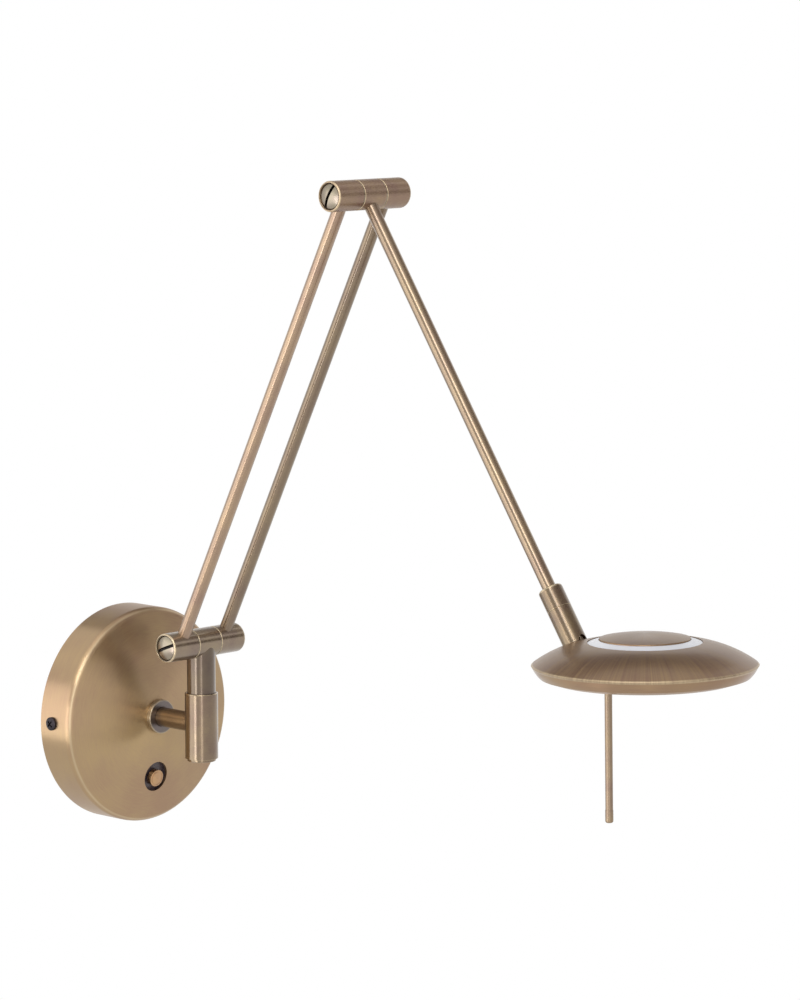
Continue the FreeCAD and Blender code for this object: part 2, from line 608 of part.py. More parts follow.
# Rubber grommet in the bracket's cable hole
cable_grommet = body("cable_grommet", WALL)
GROMMET_TOP = "(plate_thick + grommet_flange_thick)"
turned(cable_grommet, [
    ("grommet_bore", "0"),
    ("cable_hole_radius - fit_gap", "0"),
    ("cable_hole_radius - fit_gap", "plate_thick"),
    ("cable_hole_radius + grommet_flange", "plate_thick"),
    ("cable_hole_radius + grommet_flange", GROMMET_TOP),
    ("grommet_bore", GROMMET_TOP),
])

# Light driver with two screwed ears
led_driver = body("led_driver", WALL)
EAR_TOP = "(plate_thick + ear_thick)"
padded(led_driver, [box_loop("-driver_half", "driver_half", "driver_centre - driver_depth / 2",
                             "driver_centre + driver_depth / 2")],
       "driver_height", shift=("0", "0", "plate_thick"))
dressed(led_driver, "Fillet", "driver_round",
        lambda edge: edge.BoundBox.ZMax - edge.BoundBox.ZMin > worth("driver_height / 2"))
padded(led_driver, [box_loop("-ear_half", "ear_half", "driver_centre - ear_width / 2",
                             "driver_centre + ear_width / 2")],
       "ear_thick", shift=("0", "0", "plate_thick"))
pocketed(led_driver, [
    (f"{side}ear_screw_side", "driver_centre", "small_screw_radius + side_gap") for side in ("", "-")
], "ear_thick + overrun", shift=("0", "0", EAR_TOP))


def headed_screw(owner, x, y, seat, low, shank, head, rise, sign="+"):
    """A plain cylinder-head screw along local Z: a shank under a head that sits at the seat."""
    return [
        padded(owner, [(x, y, shank)], f"{seat} - ({low})", shift=("0", "0", low)),
        padded(owner, [(x, y, head)], rise, shift=("0", "0", seat)),
    ]


driver_screws = body("driver_screws", WALL)
mirrored(driver_screws, headed_screw(
    driver_screws, "ear_screw_side", "driver_centre", EAR_TOP, "part_gap",
    "small_screw_radius", "small_head_radius", "small_head_rise"))

earth_screw = body("earth_screw", WALL)
headed_screw(earth_screw, "terminal_side", "-terminal_drop", "plate_thick", "part_gap",
             "side_screw_radius", "earth_head_radius", "earth_head_rise")

# Terminal block: wire ways from side to side, and a well over each for its screw
terminal_block = body("terminal_block", WALL)
TERMINAL_TOP = "(plate_thick + terminal_height)"
padded(terminal_block, [box_loop(
    "-terminal_side - terminal_length / 2", "-terminal_side + terminal_length / 2",
    "-terminal_drop - terminal_width / 2", "-terminal_drop + terminal_width / 2")],
    "terminal_height", shift=("0", "0", "plate_thick"))
POLES = [f"-terminal_side + {step} * terminal_pitch" for step in (-1, 0, 1)]
pocketed(terminal_block, [(pole, "-terminal_drop", "terminal_hole") for pole in POLES],
         "terminal_screw_depth", shift=("0", "0", TERMINAL_TOP))
pocketed(terminal_block, [(pole, "plate_thick + terminal_height / 2", "terminal_hole") for pole in POLES],
         "terminal_width + overrun", role="XZ_Plane", shift=("0", "0", "terminal_drop"), middle=True)

# Collar, stub tube, tooth washer and lock nut hold the swivel on the canopy
stub_collar = body("stub_collar", WALL)
COLLAR_TOP = f"({DOME_TOP} + collar_rise)"
turned(stub_collar, tube_points("stub_radius + fit_gap", "collar_radius", DOME_TOP, COLLAR_TOP))
dressed(stub_collar, "Chamfer", "edge_break", circle_at("collar_radius", COLLAR_TOP))

stub_tube = body("stub_tube", WALL)
NUT_TOP = f"({DOME_TOP} - canopy_wall - tooth_washer_thick)"
THREAD_END = f"({NUT_TOP} - lock_nut_thick - thread_tail)"
turned(stub_tube, [
    ("stub_bore", THREAD_END), ("thread_radius", THREAD_END), ("thread_radius", DOME_TOP),
    ("stub_radius", DOME_TOP), ("stub_radius", "post_out"), ("stub_bore", "post_out"),
])
pocketed(stub_tube, [("0", "post_out", "barrel_radius")], "2 * (stub_radius + overrun)",
         role="XZ_Plane", middle=True)

tooth_washer = body("tooth_washer", WALL)
turned(tooth_washer, tube_points("thread_radius + fit_gap", "tooth_washer_radius", NUT_TOP,
                                 f"{NUT_TOP} + tooth_washer_thick"))

lock_nut = body("lock_nut", WALL)
padded(lock_nut, [hex_points("lock_nut_width"), ("0", "0", "thread_radius + fit_gap")],
       "lock_nut_thick", shift=("0", "0", f"{NUT_TOP} - lock_nut_thick"))

# Dimmer: a black bezel cup behind the canopy's hole, a housing behind it and the push button
BEZEL_RIM = "(-bezel_sink)"
BEZEL_FLOOR = f"({BEZEL_RIM} - bezel_depth)"
BEZEL_BACK = f"({BEZEL_FLOOR} - bezel_floor)"
CUP_IN = "(recess_radius + bezel_gap)"
STEM_HOLE = ("0", "-button_low", "stem_radius + side_gap")
dimmer_bezel = body("dimmer_bezel", BUTTON)
turned(dimmer_bezel, [
    ("0", BEZEL_BACK), (f"{CUP_IN} + bezel_wall", BEZEL_BACK), (f"{CUP_IN} + bezel_wall", BEZEL_RIM),
    (CUP_IN, BEZEL_RIM), (CUP_IN, BEZEL_FLOOR), ("0", BEZEL_FLOOR),
])
pocketed(dimmer_bezel, [STEM_HOLE], "bezel_floor + overrun", shift=("0", "0", BEZEL_FLOOR))

dimmer_housing = body("dimmer_housing", BUTTON)
HALF_HOUSING = "housing_width / 2"
padded(dimmer_housing, [box_loop(f"-{HALF_HOUSING}", HALF_HOUSING, f"-{HALF_HOUSING} - button_low",
                                 f"{HALF_HOUSING} - button_low")],
       "housing_height", shift=("0", "0", f"{BEZEL_BACK} - housing_height"))
pocketed(dimmer_housing, [STEM_HOLE], "housing_well", shift=("0", "0", BEZEL_BACK))

dimmer_button = body("dimmer_button", BUTTON)
CAP_BASE = f"({BEZEL_FLOOR} + button_lift)"
CAP_EDGE = f"({CAP_BASE} + button_rise - button_crown)"
turned(dimmer_button, [
    ("0", f"{CAP_BASE} - stem_length"),
    ("stem_radius", f"{CAP_BASE} - stem_length"),
    ("stem_radius", CAP_BASE),
    ("button_radius", CAP_BASE),
    ("button_radius", CAP_EDGE, "(button_radius^2 + button_crown^2) / (2 * button_crown)", "left"),
    ("0", f"{CAP_BASE} + button_rise"),
], shift=("0", "0", "button_low"))
pocketed(dimmer_button, [("0", "-button_low", "ring_cut_radius + ring_cut_width"),
                         ("0", "-button_low", "ring_cut_radius")],
         "ring_cut_depth + button_crown / 2", shift=("0", "0", f"{CAP_BASE} + button_rise"))

# Swivel barrel: bored for the post, with an inner floor that carries it
BARREL_LOW = "(-barrel_drop)"
POST_FLOOR = "(-floor_drop)"
FLOOR_UNDER = "(-floor_drop - floor_thick)"
swivel_barrel = body("swivel_barrel", POST)
turned(swivel_barrel, [
    ("cavity_radius", BARREL_LOW), ("barrel_radius", BARREL_LOW), ("barrel_radius", "barrel_top"),
    ("post_radius + fit_gap", "barrel_top"), ("post_radius + fit_gap", POST_FLOOR),
    ("post_screw_radius + side_gap", POST_FLOOR), ("post_screw_radius + side_gap", FLOOR_UNDER),
    ("cavity_radius", FLOOR_UNDER),
])
dressed(swivel_barrel, "Chamfer", "edge_break", circle_at("post_radius + fit_gap", "barrel_top"))
dressed(swivel_barrel, "Fillet", "edge_break", circle_at("barrel_radius", BARREL_LOW))
pocketed(swivel_barrel, [("0", "0", "stub_bore")], "barrel_radius + overrun", role="XZ_Plane")

barrel_end_cap = body("barrel_end_cap", POST)
SPIGOT_TOP = f"({BARREL_LOW} + end_cap_spigot)"
CAP_LOW = f"({BARREL_LOW} - end_cap_thick)"
turned(barrel_end_cap, [
    ("0", CAP_LOW), ("end_cap_radius", CAP_LOW), ("end_cap_radius", BARREL_LOW),
    ("cavity_radius - fit_gap", BARREL_LOW), ("cavity_radius - fit_gap", SPIGOT_TOP), ("0", SPIGOT_TOP),
])
dressed(barrel_end_cap, "Fillet", "end_cap_round", circle_at("end_cap_radius", CAP_LOW))

thrust_washer = body("thrust_washer", POST)
turned(thrust_washer, tube_points("post_screw_radius + side_gap", "post_radius - fit_gap", POST_FLOOR,
                                  f"{POST_FLOOR} + thrust_thick"))

# Swivel post: a tube with a tapped base, a wire window at the back and a saddle under the knuckle
POST_BASE = f"({POST_FLOOR} + thrust_thick + side_gap)"
swivel_post = body("swivel_post", POST)
turned(swivel_post, [
    ("post_screw_radius", POST_BASE), ("post_radius", POST_BASE), ("post_radius", "hinge_height"),
    ("post_bore", "hinge_height"), ("post_bore", f"{POST_BASE} + post_base"),
    ("post_screw_radius", f"{POST_BASE} + post_base"),
])
pocketed(swivel_post, [("0", "hinge_height", "hinge_radius")], "2 * (post_radius + overrun)",
         role="YZ_Plane", middle=True)
pocketed(swivel_post, [box_loop("-window_front", "post_radius + overrun", "-window_height / 2",
                                "window_height / 2")],
         "2 * (post_radius + overrun)", role="YZ_Plane", middle=True)

# The screw and disc washer under the barrel's floor keep the post in and give its friction
DISC_TOP = f"({FLOOR_UNDER} - side_gap)"
DISC_LOW = f"({DISC_TOP} - disc_washer_thick)"
disc_washer = body("disc_washer", POST)
turned(disc_washer, tube_points("post_screw_radius", "disc_washer_radius", DISC_LOW, DISC_TOP))

post_screw = body("post_screw", POST)
SHANK = "post_screw_radius - fit_gap"
turned(post_screw, [
    ("0", f"{DISC_LOW} - post_head_rise"), ("post_head_radius", f"{DISC_LOW} - post_head_rise"),
    ("post_head_radius", DISC_LOW), (SHANK, DISC_LOW), (SHANK, f"{POST_BASE} + post_base"),
    ("0", f"{POST_BASE} + post_base"),
])

# Hinges: a middle knuckle with flanged bushes between two side barrels on one slotted screw
SIDE_FACE = "(knuckle_half + bush_flange + side_gap)"
BOLT_SEAT = "(hinge_half - bolt_head_seat)"


def knuckle(label, where, branch):
    """The middle barrel of a hinge, bored across for the rod or post that it carries."""
    made = body(label, where)
    turned(made, [
        ("-knuckle_half", "knuckle_bore"), ("-knuckle_half", "hinge_radius"),
        ("knuckle_half", "hinge_radius"), ("knuckle_half", "knuckle_bore"),
    ], axis="H_Axis")
    pocketed(made, [("0", "0", branch)], "hinge_radius + overrun", along=True)


def bushes(label, where):
    """Two flanged bushes, whose flanges show as bright lines between the barrels."""
    made = body(label, where)
    bush = turned(made, [
        ("knuckle_half - bush_length", "bolt_radius + fit_gap"),
        ("knuckle_half + bush_flange", "bolt_radius + fit_gap"),
        ("knuckle_half + bush_flange", "hinge_radius - bush_flange_inset"),
        ("knuckle_half", "hinge_radius - bush_flange_inset"),
        ("knuckle_half", "knuckle_bore - fit_gap"),
        ("knuckle_half - bush_length", "knuckle_bore - fit_gap"),
    ], axis="H_Axis")
    mirrored(made, [bush])


def near_barrel(label, where):
    """The side barrel that holds a rod and takes the screw's head in a counterbore."""
    made = body(label, where)
    turned(made, [
        (f"-{SIDE_FACE}", "bolt_radius + side_gap"), (f"-{SIDE_FACE}", "hinge_radius"),
        ("-hinge_half", "hinge_radius"), ("-hinge_half", "bolt_head_radius + bolt_head_gap"),
        (f"-{BOLT_SEAT}", "bolt_head_radius + bolt_head_gap"), (f"-{BOLT_SEAT}", "bolt_radius + side_gap"),
    ], axis="H_Axis")
    dressed(made, "Fillet", "near_round", circle_at("hinge_radius", "-hinge_half", "x"))
    pocketed(made, [("-rod_side", "0", "rod_radius + fit_gap")], "hinge_radius", along=True,
             shift=("0", "0", "rod_floor"))


def far_barrel(label, where):
    """The side barrel that holds the other rod: a wire room, a tapped hole and a closed end."""
    made = body(label, where)
    turned(made, [
        (SIDE_FACE, "chamber_radius"), ("hinge_half - chamber_end", "chamber_radius"),
        ("hinge_half - chamber_end", "bolt_radius + fit_gap"),
        ("hinge_half - bolt_tail + side_gap", "bolt_radius + fit_gap"),
        ("hinge_half - bolt_tail + side_gap", "0"), ("hinge_half", "0"),
        ("hinge_half", "hinge_radius"), (SIDE_FACE, "hinge_radius"),
    ], axis="H_Axis")
    dressed(made, "Fillet", "far_round", circle_at("hinge_radius", "hinge_half", "x"))
    pocketed(made, [("rod_side", "0", "rod_radius + fit_gap")], "hinge_radius", along=True,
             shift=("0", "0", "rod_floor"))


def hinge_screw(label, where, slot_turn):
    """The long screw through a hinge, with a slotted dome of a head."""
    made = body(label, where)
    edge = "(-hinge_half + bolt_head_inset)"
    crown = f"({edge} - bolt_head_crown)"
    turned(made, [
        (crown, "0", "(bolt_head_radius^2 + bolt_head_crown^2) / (2 * bolt_head_crown)", "right"),
        (edge, "bolt_head_radius"), (f"-{BOLT_SEAT} - fit_gap", "bolt_head_radius"),
        (f"-{BOLT_SEAT} - fit_gap", "bolt_radius"), ("hinge_half - bolt_tail", "bolt_radius"),
        ("hinge_half - bolt_tail", "0"),
    ], axis="H_Axis")
    reach = "(bolt_head_radius + overrun)"
    pocketed(made, [box_loop(f"-{reach}", reach, "-driver_slot_width / 2", "driver_slot_width / 2")],
             "driver_slot_depth", role="YZ_Plane", shift=("0", "0", crown), turn=slot_turn, along=True)


knuckle("post_knuckle", POST_HINGE, "post_bore")
bushes("lower_hinge_bushes", POST_HINGE)
near_barrel("lower_near_barrel", LOWER)
far_barrel("lower_far_barrel", LOWER)
hinge_screw("lower_hinge_screw", LOWER, "lower_slot_turn")

knuckle("elbow_knuckle", UPPER_BACK, "rod_radius + fit_gap")
bushes("elbow_bushes", UPPER_BACK)
near_barrel("elbow_near_barrel", LOWER_BACK)
far_barrel("elbow_far_barrel", LOWER_BACK)
hinge_screw("elbow_hinge_screw", LOWER_BACK, "elbow_slot_turn")


# Arm rods: plain tubes
def rod(label, where, x, low, high):
    """A straight tube along local Z."""
    made = body(label, where)
    padded(made, [(x, "0", "rod_radius"), (x, "0", "rod_bore")], f"{high} - ({low})",
           shift=("0", "0", low))


rod("near_rod", LOWER, "-rod_side", "rod_seat", "lower_arm - rod_seat")
rod("far_rod", LOWER, "rod_side", "rod_seat", "lower_arm - rod_seat")
SLEEVE_LOW = "(joint_parting + side_gap)"
SLEEVE_FLOOR = f"({SLEEVE_LOW} + sleeve_floor)"
SLEEVE_TOP = f"({SLEEVE_LOW} + sleeve_length)"
rod("upper_rod", JOINT, "0", f"{SLEEVE_FLOOR} + side_gap", "upper_arm - rod_seat")

# Sleeve on the upper rod, and the hollow nipple that the joint tube turns on
joint_sleeve = body("joint_sleeve", JOINT)
NIPPLE_HOLE = "nipple_radius + fit_gap"
turned(joint_sleeve, [
    (NIPPLE_HOLE, SLEEVE_LOW), ("joint_radius", SLEEVE_LOW), ("joint_radius", SLEEVE_TOP),
    ("rod_radius + fit_gap", SLEEVE_TOP), ("rod_radius + fit_gap", SLEEVE_FLOOR),
    (NIPPLE_HOLE, SLEEVE_FLOOR),
])
dressed(joint_sleeve, "Fillet", "sleeve_round", circle_at("joint_radius", SLEEVE_TOP))

swivel_washer = body("swivel_washer", JOINT)
WASHER_TOP = "(joint_parting - tube_floor - side_gap)"
WASHER_LOW = f"({WASHER_TOP} - nipple_washer_thick)"
turned(swivel_washer, tube_points(NIPPLE_HOLE, "nipple_flange", WASHER_LOW, WASHER_TOP))

swivel_nipple = body("swivel_nipple", JOINT)
FLANGE_LOW = f"({WASHER_LOW} - nipple_flange_thick)"
turned(swivel_nipple, [
    ("nipple_bore", FLANGE_LOW), ("nipple_flange", FLANGE_LOW), ("nipple_flange", WASHER_LOW),
    ("nipple_radius", WASHER_LOW), ("nipple_radius", SLEEVE_FLOOR), ("nipple_bore", SLEEVE_FLOOR),
])

# Joint tube: open below, notched outside, slotted inside, and rounded there so that the head
# can tilt past it. The outer half of its end leans along the head's shell.
joint_tube = body("joint_tube", JOINT)
WALL_REACH = "(joint_radius + overrun)"
TUBE_LOW = f"(-tube_drop / cos(end_lean) - {WALL_REACH} * tan(end_lean))"
turned(joint_tube, [
    ("tube_bore", TUBE_LOW), ("joint_radius", TUBE_LOW), ("joint_radius", "joint_parting"),
    (NIPPLE_HOLE, "joint_parting"), (NIPPLE_HOLE, "joint_parting - tube_floor"),
    ("tube_bore", "joint_parting - tube_floor"),
])
OUTER_END = "(-tube_drop / cos(end_lean) - joint_radius * tan(end_lean))"
NOTCH_SPRING = f"({OUTER_END} + notch_height - notch_half)"
pocketed(joint_tube, [("0", NOTCH_SPRING, "notch_half")], WALL_REACH, role="XZ_Plane", along=True)
RELIEF_LOW = f"({TUBE_LOW} - overrun)"
pocketed(joint_tube, [box_loop("-slot_half", "slot_half", RELIEF_LOW, "slot_over")],
         WALL_REACH, role="XZ_Plane")
pocketed(joint_tube, [box_loop("-opening_half", "opening_half", "-opening_low", "opening_high")],
         WALL_REACH, role="XZ_Plane")
pocketed(joint_tube, [[
    ("0", "-relief_radius", "relief_radius", "left"),
    (WALL_REACH, f"-sqrt(relief_radius^2 - {WALL_REACH}^2)"),
    (WALL_REACH, RELIEF_LOW),
    (f"-{WALL_REACH}", RELIEF_LOW),
    (f"-{WALL_REACH}", TUBE_LOW),
    ("0", "-tube_drop / cos(end_lean)"),
]], f"2 * {WALL_REACH}", role="YZ_Plane", middle=True)
PIN_SEAT = "(joint_radius - pin_head_sink)"
PIN_STOP = "(joint_radius - pin_wall)"
pocketed(joint_tube, [("0", "0", "pin_radius + fit_gap")], f"2 * {WALL_REACH}", role="YZ_Plane",
         shift=("0", "0", f"-{PIN_STOP}"), along=True)
pocketed(joint_tube, [("0", "0", "pin_head_radius + fit_gap")], WALL_REACH, role="YZ_Plane",
         shift=("0", "0", PIN_SEAT), along=True)

tilt_pin = body("tilt_pin", JOINT)
PIN_FACE = f"({PIN_SEAT} + pin_head_thick)"
PIN_END = f"(side_gap - {PIN_STOP})"
turned(tilt_pin, [
    (PIN_END, "0"), (PIN_FACE, "0"), (PIN_FACE, "pin_head_radius"), (PIN_SEAT, "pin_head_radius"),
    (PIN_SEAT, "pin_radius"), (PIN_END, "pin_radius"),
], axis="H_Axis")
pocketed(tilt_pin, [box_loop(f"-{WALL_REACH}", WALL_REACH, "-pin_slot_width / 2", "pin_slot_width / 2")],
         "pin_slot_depth", role="YZ_Plane", shift=("0", "0", PIN_FACE))

lug_spacers = body("lug_spacers", JOINT)
SPACER_LOW = "(lug_thick / 2 + fit_gap)"
mirrored(lug_spacers, [turned(lug_spacers, [
    (SPACER_LOW, "pin_radius + fit_gap"), (f"{SPACER_LOW} + spacer_length", "pin_radius + fit_gap"),
    (f"{SPACER_LOW} + spacer_length", "spacer_radius"), (SPACER_LOW, "spacer_radius"),
], axis="H_Axis")])

# Head: all its pieces are in the head frame. The tilt pin's place and the lug's lean follow there.
LUG_LEAN = "(upper_angle - head_tip)"
PIN_OUT = f"({HEAD_OUT} * cos(head_tip) + head_drop * sin(head_tip))"
PIN_RISE = f"(head_drop * cos(head_tip) - {HEAD_OUT} * sin(head_tip))"


def along_lug(down, across):
    """A point that far down the lug from the pin and that far across it, in the YZ plane."""
    y = f"{PIN_OUT} - ({down}) * cos({LUG_LEAN}) + ({across}) * sin({LUG_LEAN})"
    z = f"{PIN_RISE} - ({down}) * sin({LUG_LEAN}) - ({across}) * cos({LUG_LEAN})"
    return y, z


def carrier_y(across):
    """Where that line of the lug meets the carrier's top."""
    z = f"({PIN_RISE} - ({across}) * cos({LUG_LEAN}) - {CARRIER_TOP})"
    return f"{PIN_OUT} + ({across}) * sin({LUG_LEAN}) - {z} / tan({LUG_LEAN})"


SPLIT = "(-rim_thick)"
SHELL_EDGE = "(head_radius - rim_inset)"
INNER_EDGE = f"({SHELL_EDGE} - shell_wall)"
RING_OUTER = f"({SHELL_EDGE} - band_width)"
CAP_RADIUS = f"({RING_OUTER} - ring_width)"
BEND_REACH = f"({RING_OUTER} - {SHELL_EDGE} + shell_bend * sin(edge_slope))"
RING_HEIGHT = f"(rim_inset - shell_bend * cos(edge_slope) + sqrt(shell_bend^2 - {BEND_REACH}^2))"
CAP_EDGE_TOP = f"({RING_HEIGHT} + cap_edge_over)"
CAP_TOP = f"({CAP_EDGE_TOP} + cap_crown)"
UNDER_RADIUS = "(head_radius - side_inset)"
BELLY_RADIUS = f"({UNDER_RADIUS} - belly_width)"
BELLY_DROP = "(under_drop + belly_sag)"
WINDOW_RADIUS = f"({BELLY_RADIUS} - flat_width)"
WINDOW_DROP = f"({BELLY_DROP} + flat_sag)"
GUIDE_OFFSET = f"({WINDOW_RADIUS} - guide_inset)"
LIP_INNER = f"({UNDER_RADIUS} - shell_wall - lip_width)"
LIP_SCREWS = f"({LIP_INNER} + lip_screw_edge)"
CARRIER_LOW = SPLIT
CARRIER_TOP = "(carrier_thick - rim_thick)"
FOOT_CENTRE = f"({PIN_OUT} - ({PIN_RISE} - {CARRIER_TOP}) / tan({LUG_LEAN}))"

# Upper shell: a spun dish with a round opening for the uplight and a slot for the lug
upper_shell = body("upper_shell", HEAD)
turned(upper_shell, [
    (RING_OUTER, f"{RING_HEIGHT} - shell_wall"),
    (RING_OUTER, RING_HEIGHT, "shell_bend", "right"),
    (SHELL_EDGE, "rim_inset"),
    ("head_radius", "0"),
    (SHELL_EDGE, SPLIT),
    (INNER_EDGE, SPLIT),
    (INNER_EDGE, "rim_inset - shell_wall", "shell_bend - shell_wall", "left"),
])
LUG_ROOM = "(lug_half + part_gap)"
pocketed(upper_shell, [[
    along_lug("lug_eye", f"-{LUG_ROOM}"), along_lug("lug_eye", LUG_ROOM),
    (carrier_y(LUG_ROOM), CARRIER_TOP), (carrier_y(f"-{LUG_ROOM}"), CARRIER_TOP),
]], "lug_thick + 2 * part_gap", role="YZ_Plane", middle=True)

# Lower shell: the rounded side, a shallow belly, a ledge for the diffuser and a lip for screws
lower_shell = body("lower_shell", HEAD)
LEDGE = f"(ledge_thick - {WINDOW_DROP})"
POCKET_EDGE = f"({WINDOW_RADIUS} + ledge_width)"
turned(lower_shell, [
    (LIP_INNER, SPLIT), (SHELL_EDGE, SPLIT, "side_bend", "right"),
    (UNDER_RADIUS, "-under_drop"), (BELLY_RADIUS, f"-{BELLY_DROP}"), (WINDOW_RADIUS, f"-{WINDOW_DROP}"),
    (WINDOW_RADIUS, LEDGE), (POCKET_EDGE, LEDGE), (POCKET_EDGE, f"shell_wall - {BELLY_DROP}"),
    (f"{BELLY_RADIUS} - edge_break", f"shell_wall - {BELLY_DROP}"),
    (f"{UNDER_RADIUS} - shell_wall", "shell_wall - under_drop"),
    (f"{UNDER_RADIUS} - shell_wall / 2", f"{SPLIT} - shell_wall"),
    (LIP_INNER, f"{SPLIT} - shell_wall"),
])

# Carrier plate: the head's aluminium floor, which everything in the head is fixed to
carrier_plate = body("carrier_plate", HEAD)
padded(carrier_plate, [
    ("0", "0", f"{INNER_EDGE} - carrier_room"),
    ("0", GUIDE_OFFSET, "guide_radius + fit_gap"),
    ("0", "0", "stud_radius + fit_gap"),
    ("foot_screw_side", FOOT_CENTRE, "small_screw_radius + fit_gap"),
    ("-foot_screw_side", FOOT_CENTRE, "small_screw_radius + fit_gap"),
], "carrier_thick", shift=("0", "0", CARRIER_LOW))
drilling = pocketed(carrier_plate, [(LIP_SCREWS, "0", "shell_screw_radius + fit_gap")],
                    "carrier_thick + overrun", shift=("0", "0", CARRIER_TOP))
ringed(carrier_plate, [drilling], "shell_screw_count")
lip_drilling = pocketed(lower_shell, [(LIP_SCREWS, "0", "shell_screw_radius + fit_gap")],
                        "shell_wall + overrun", shift=("0", "0", SPLIT))
ringed(lower_shell, [lip_drilling], "shell_screw_count")
doc.recompute()

shell_screws = body("shell_screws", HEAD)
ringed(shell_screws, headed_screw(
    shell_screws, LIP_SCREWS, "0", CARRIER_TOP, f"{SPLIT} - shell_wall",
    "shell_screw_radius", "shell_head_radius", "shell_head_rise"), "shell_screw_count")
doc.recompute()

# Lug: a flat tongue from the tilt pin to a foot that is screwed to the carrier
head_lug = body("head_lug", HEAD)
padded(head_lug, [[
    along_lug("0", "-lug_half"), along_lug("0", "lug_half"),
    (carrier_y("lug_half"), CARRIER_TOP), (carrier_y("-lug_half"), CARRIER_TOP),
]], "lug_thick", role="YZ_Plane", middle=True)
padded(head_lug, [(PIN_OUT, PIN_RISE, "lug_eye")], "lug_thick", role="YZ_Plane", middle=True)
padded(head_lug, [box_loop("-foot_half", "foot_half", f"{FOOT_CENTRE} - foot_length / 2",
                           f"{FOOT_CENTRE} + foot_length / 2")],
       "foot_thick", shift=("0", "0", CARRIER_TOP))
pocketed(head_lug, [(PIN_OUT, PIN_RISE, "pin_radius + fit_gap")], "lug_thick + overrun",
         role="YZ_Plane", middle=True)
FOOT_TOP = f"({CARRIER_TOP} + foot_thick)"
pocketed(head_lug, [(f"{side}foot_screw_side", FOOT_CENTRE, "small_screw_radius + fit_gap")
                    for side in ("", "-")],
         "foot_thick", shift=("0", "0", FOOT_TOP))

lug_screws = body("lug_screws", HEAD)
mirrored(lug_screws, headed_screw(
    lug_screws, "foot_screw_side", FOOT_CENTRE, FOOT_TOP, CARRIER_LOW,
    "small_screw_radius", "small_head_radius", "small_head_rise"))

# Centre cap over the uplight, and its stud
CAP_LIP = f"({CAP_EDGE_TOP} - cap_skirt)"
CAP_UNDER = f"({CAP_TOP} - shell_wall)"
BOSS_LOW = f"({CAP_UNDER} - cap_boss_drop)"
STUD_TOP = f"({BOSS_LOW} + stud_bite)"

centre_cap = body("centre_cap", HEAD)
turned(centre_cap, [
    ("0", f"{STUD_TOP} + side_gap"), ("stud_radius + fit_gap", f"{STUD_TOP} + side_gap"),
    ("stud_radius + fit_gap", BOSS_LOW), ("cap_boss", BOSS_LOW), ("cap_boss", f"{CAP_UNDER} - cap_crown / 4"),
    (f"{CAP_RADIUS} - shell_wall", f"{CAP_UNDER} - cap_crown"), (f"{CAP_RADIUS} - shell_wall", CAP_LIP),
    (CAP_RADIUS, CAP_LIP),
    (CAP_RADIUS, CAP_EDGE_TOP, f"({CAP_RADIUS}^2 + cap_crown^2) / (2 * cap_crown)", "left"),
    ("0", CAP_TOP),
])
dressed(centre_cap, "Fillet", "edge_break", circle_at(CAP_RADIUS, CAP_EDGE_TOP))

cap_stud = body("cap_stud", HEAD)
padded(cap_stud, [("0", "0", "stud_radius")], f"{STUD_TOP} - {CARRIER_LOW}",
       shift=("0", "0", CARRIER_LOW))

# Opal ring of the uplight, between shell and cap, with flanges under both
uplight_diffuser = body("uplight_diffuser", HEAD)
RING_OUT = f"({RING_OUTER} - ring_gap)"
RING_IN = f"({CAP_RADIUS} + ring_gap)"
RING_LOW = f"({RING_HEIGHT} - ring_sink)"
RING_UNDER = f"({RING_HEIGHT} - shell_wall - part_gap - ring_thick)"
turned(uplight_diffuser, [
    (f"{RING_IN} - ring_inner_flange", RING_UNDER),
    (f"{RING_OUT} + ring_flange", RING_UNDER),
    (f"{RING_OUT} + ring_flange", f"{RING_UNDER} + ring_thick / 2"),
    (RING_OUT, f"{RING_UNDER} + ring_thick / 2"),
    (RING_OUT, RING_LOW),
    (RING_IN, f"{RING_LOW} + ring_slope"),
    (RING_IN, f"{CAP_LIP} - side_gap"),
    (f"{RING_IN} - ring_inner_flange", f"{CAP_LIP} - side_gap"),
])

# Light boards with their chips: one ring above the carrier, one disc under it
uplight_board = body("uplight_board", HEAD)
UP_BOARD_OUT = f"({RING_OUTER} + up_board_over)"
UP_BOARD_IN = f"({CAP_RADIUS} - up_board_under)"
padded(uplight_board, [("0", "0", UP_BOARD_OUT), ("0", "0", UP_BOARD_IN)],
       "board_thick", shift=("0", "0", CARRIER_TOP))
pocketed(uplight_board, [("0", GUIDE_OFFSET, "guide_nut_width / 2 / cos(30) + part_gap")],
         "board_thick + overrun", shift=("0", "0", f"{CARRIER_TOP} + board_thick"))


def chips(owner, circle, low, count):
    """A ring of square chips."""
    half = "chip_width / 2"
    turn_share = 0.5
    corner = [(f"{circle} - {half}", f"-{half}"), (f"{circle} + {half}", f"-{half}"),
              (f"{circle} + {half}", half), (f"{circle} - {half}", half)]
    step = f"{turn_share} * 360 / {count}"
    loop = [(f"({x}) * cos({step}) - ({y}) * sin({step})", f"({x}) * sin({step}) + ({y}) * cos({step})")
            for x, y in corner]
    chip = padded(owner, [loop], "chip_thick", shift=("0", "0", low))
    ringed(owner, [chip], count)
    doc.recompute()


uplight_chips = body("uplight_chips", HEAD)
chips(uplight_chips, f"({UP_BOARD_OUT} + {UP_BOARD_IN}) / 2", f"{CARRIER_TOP} + board_thick", "up_chip_count")

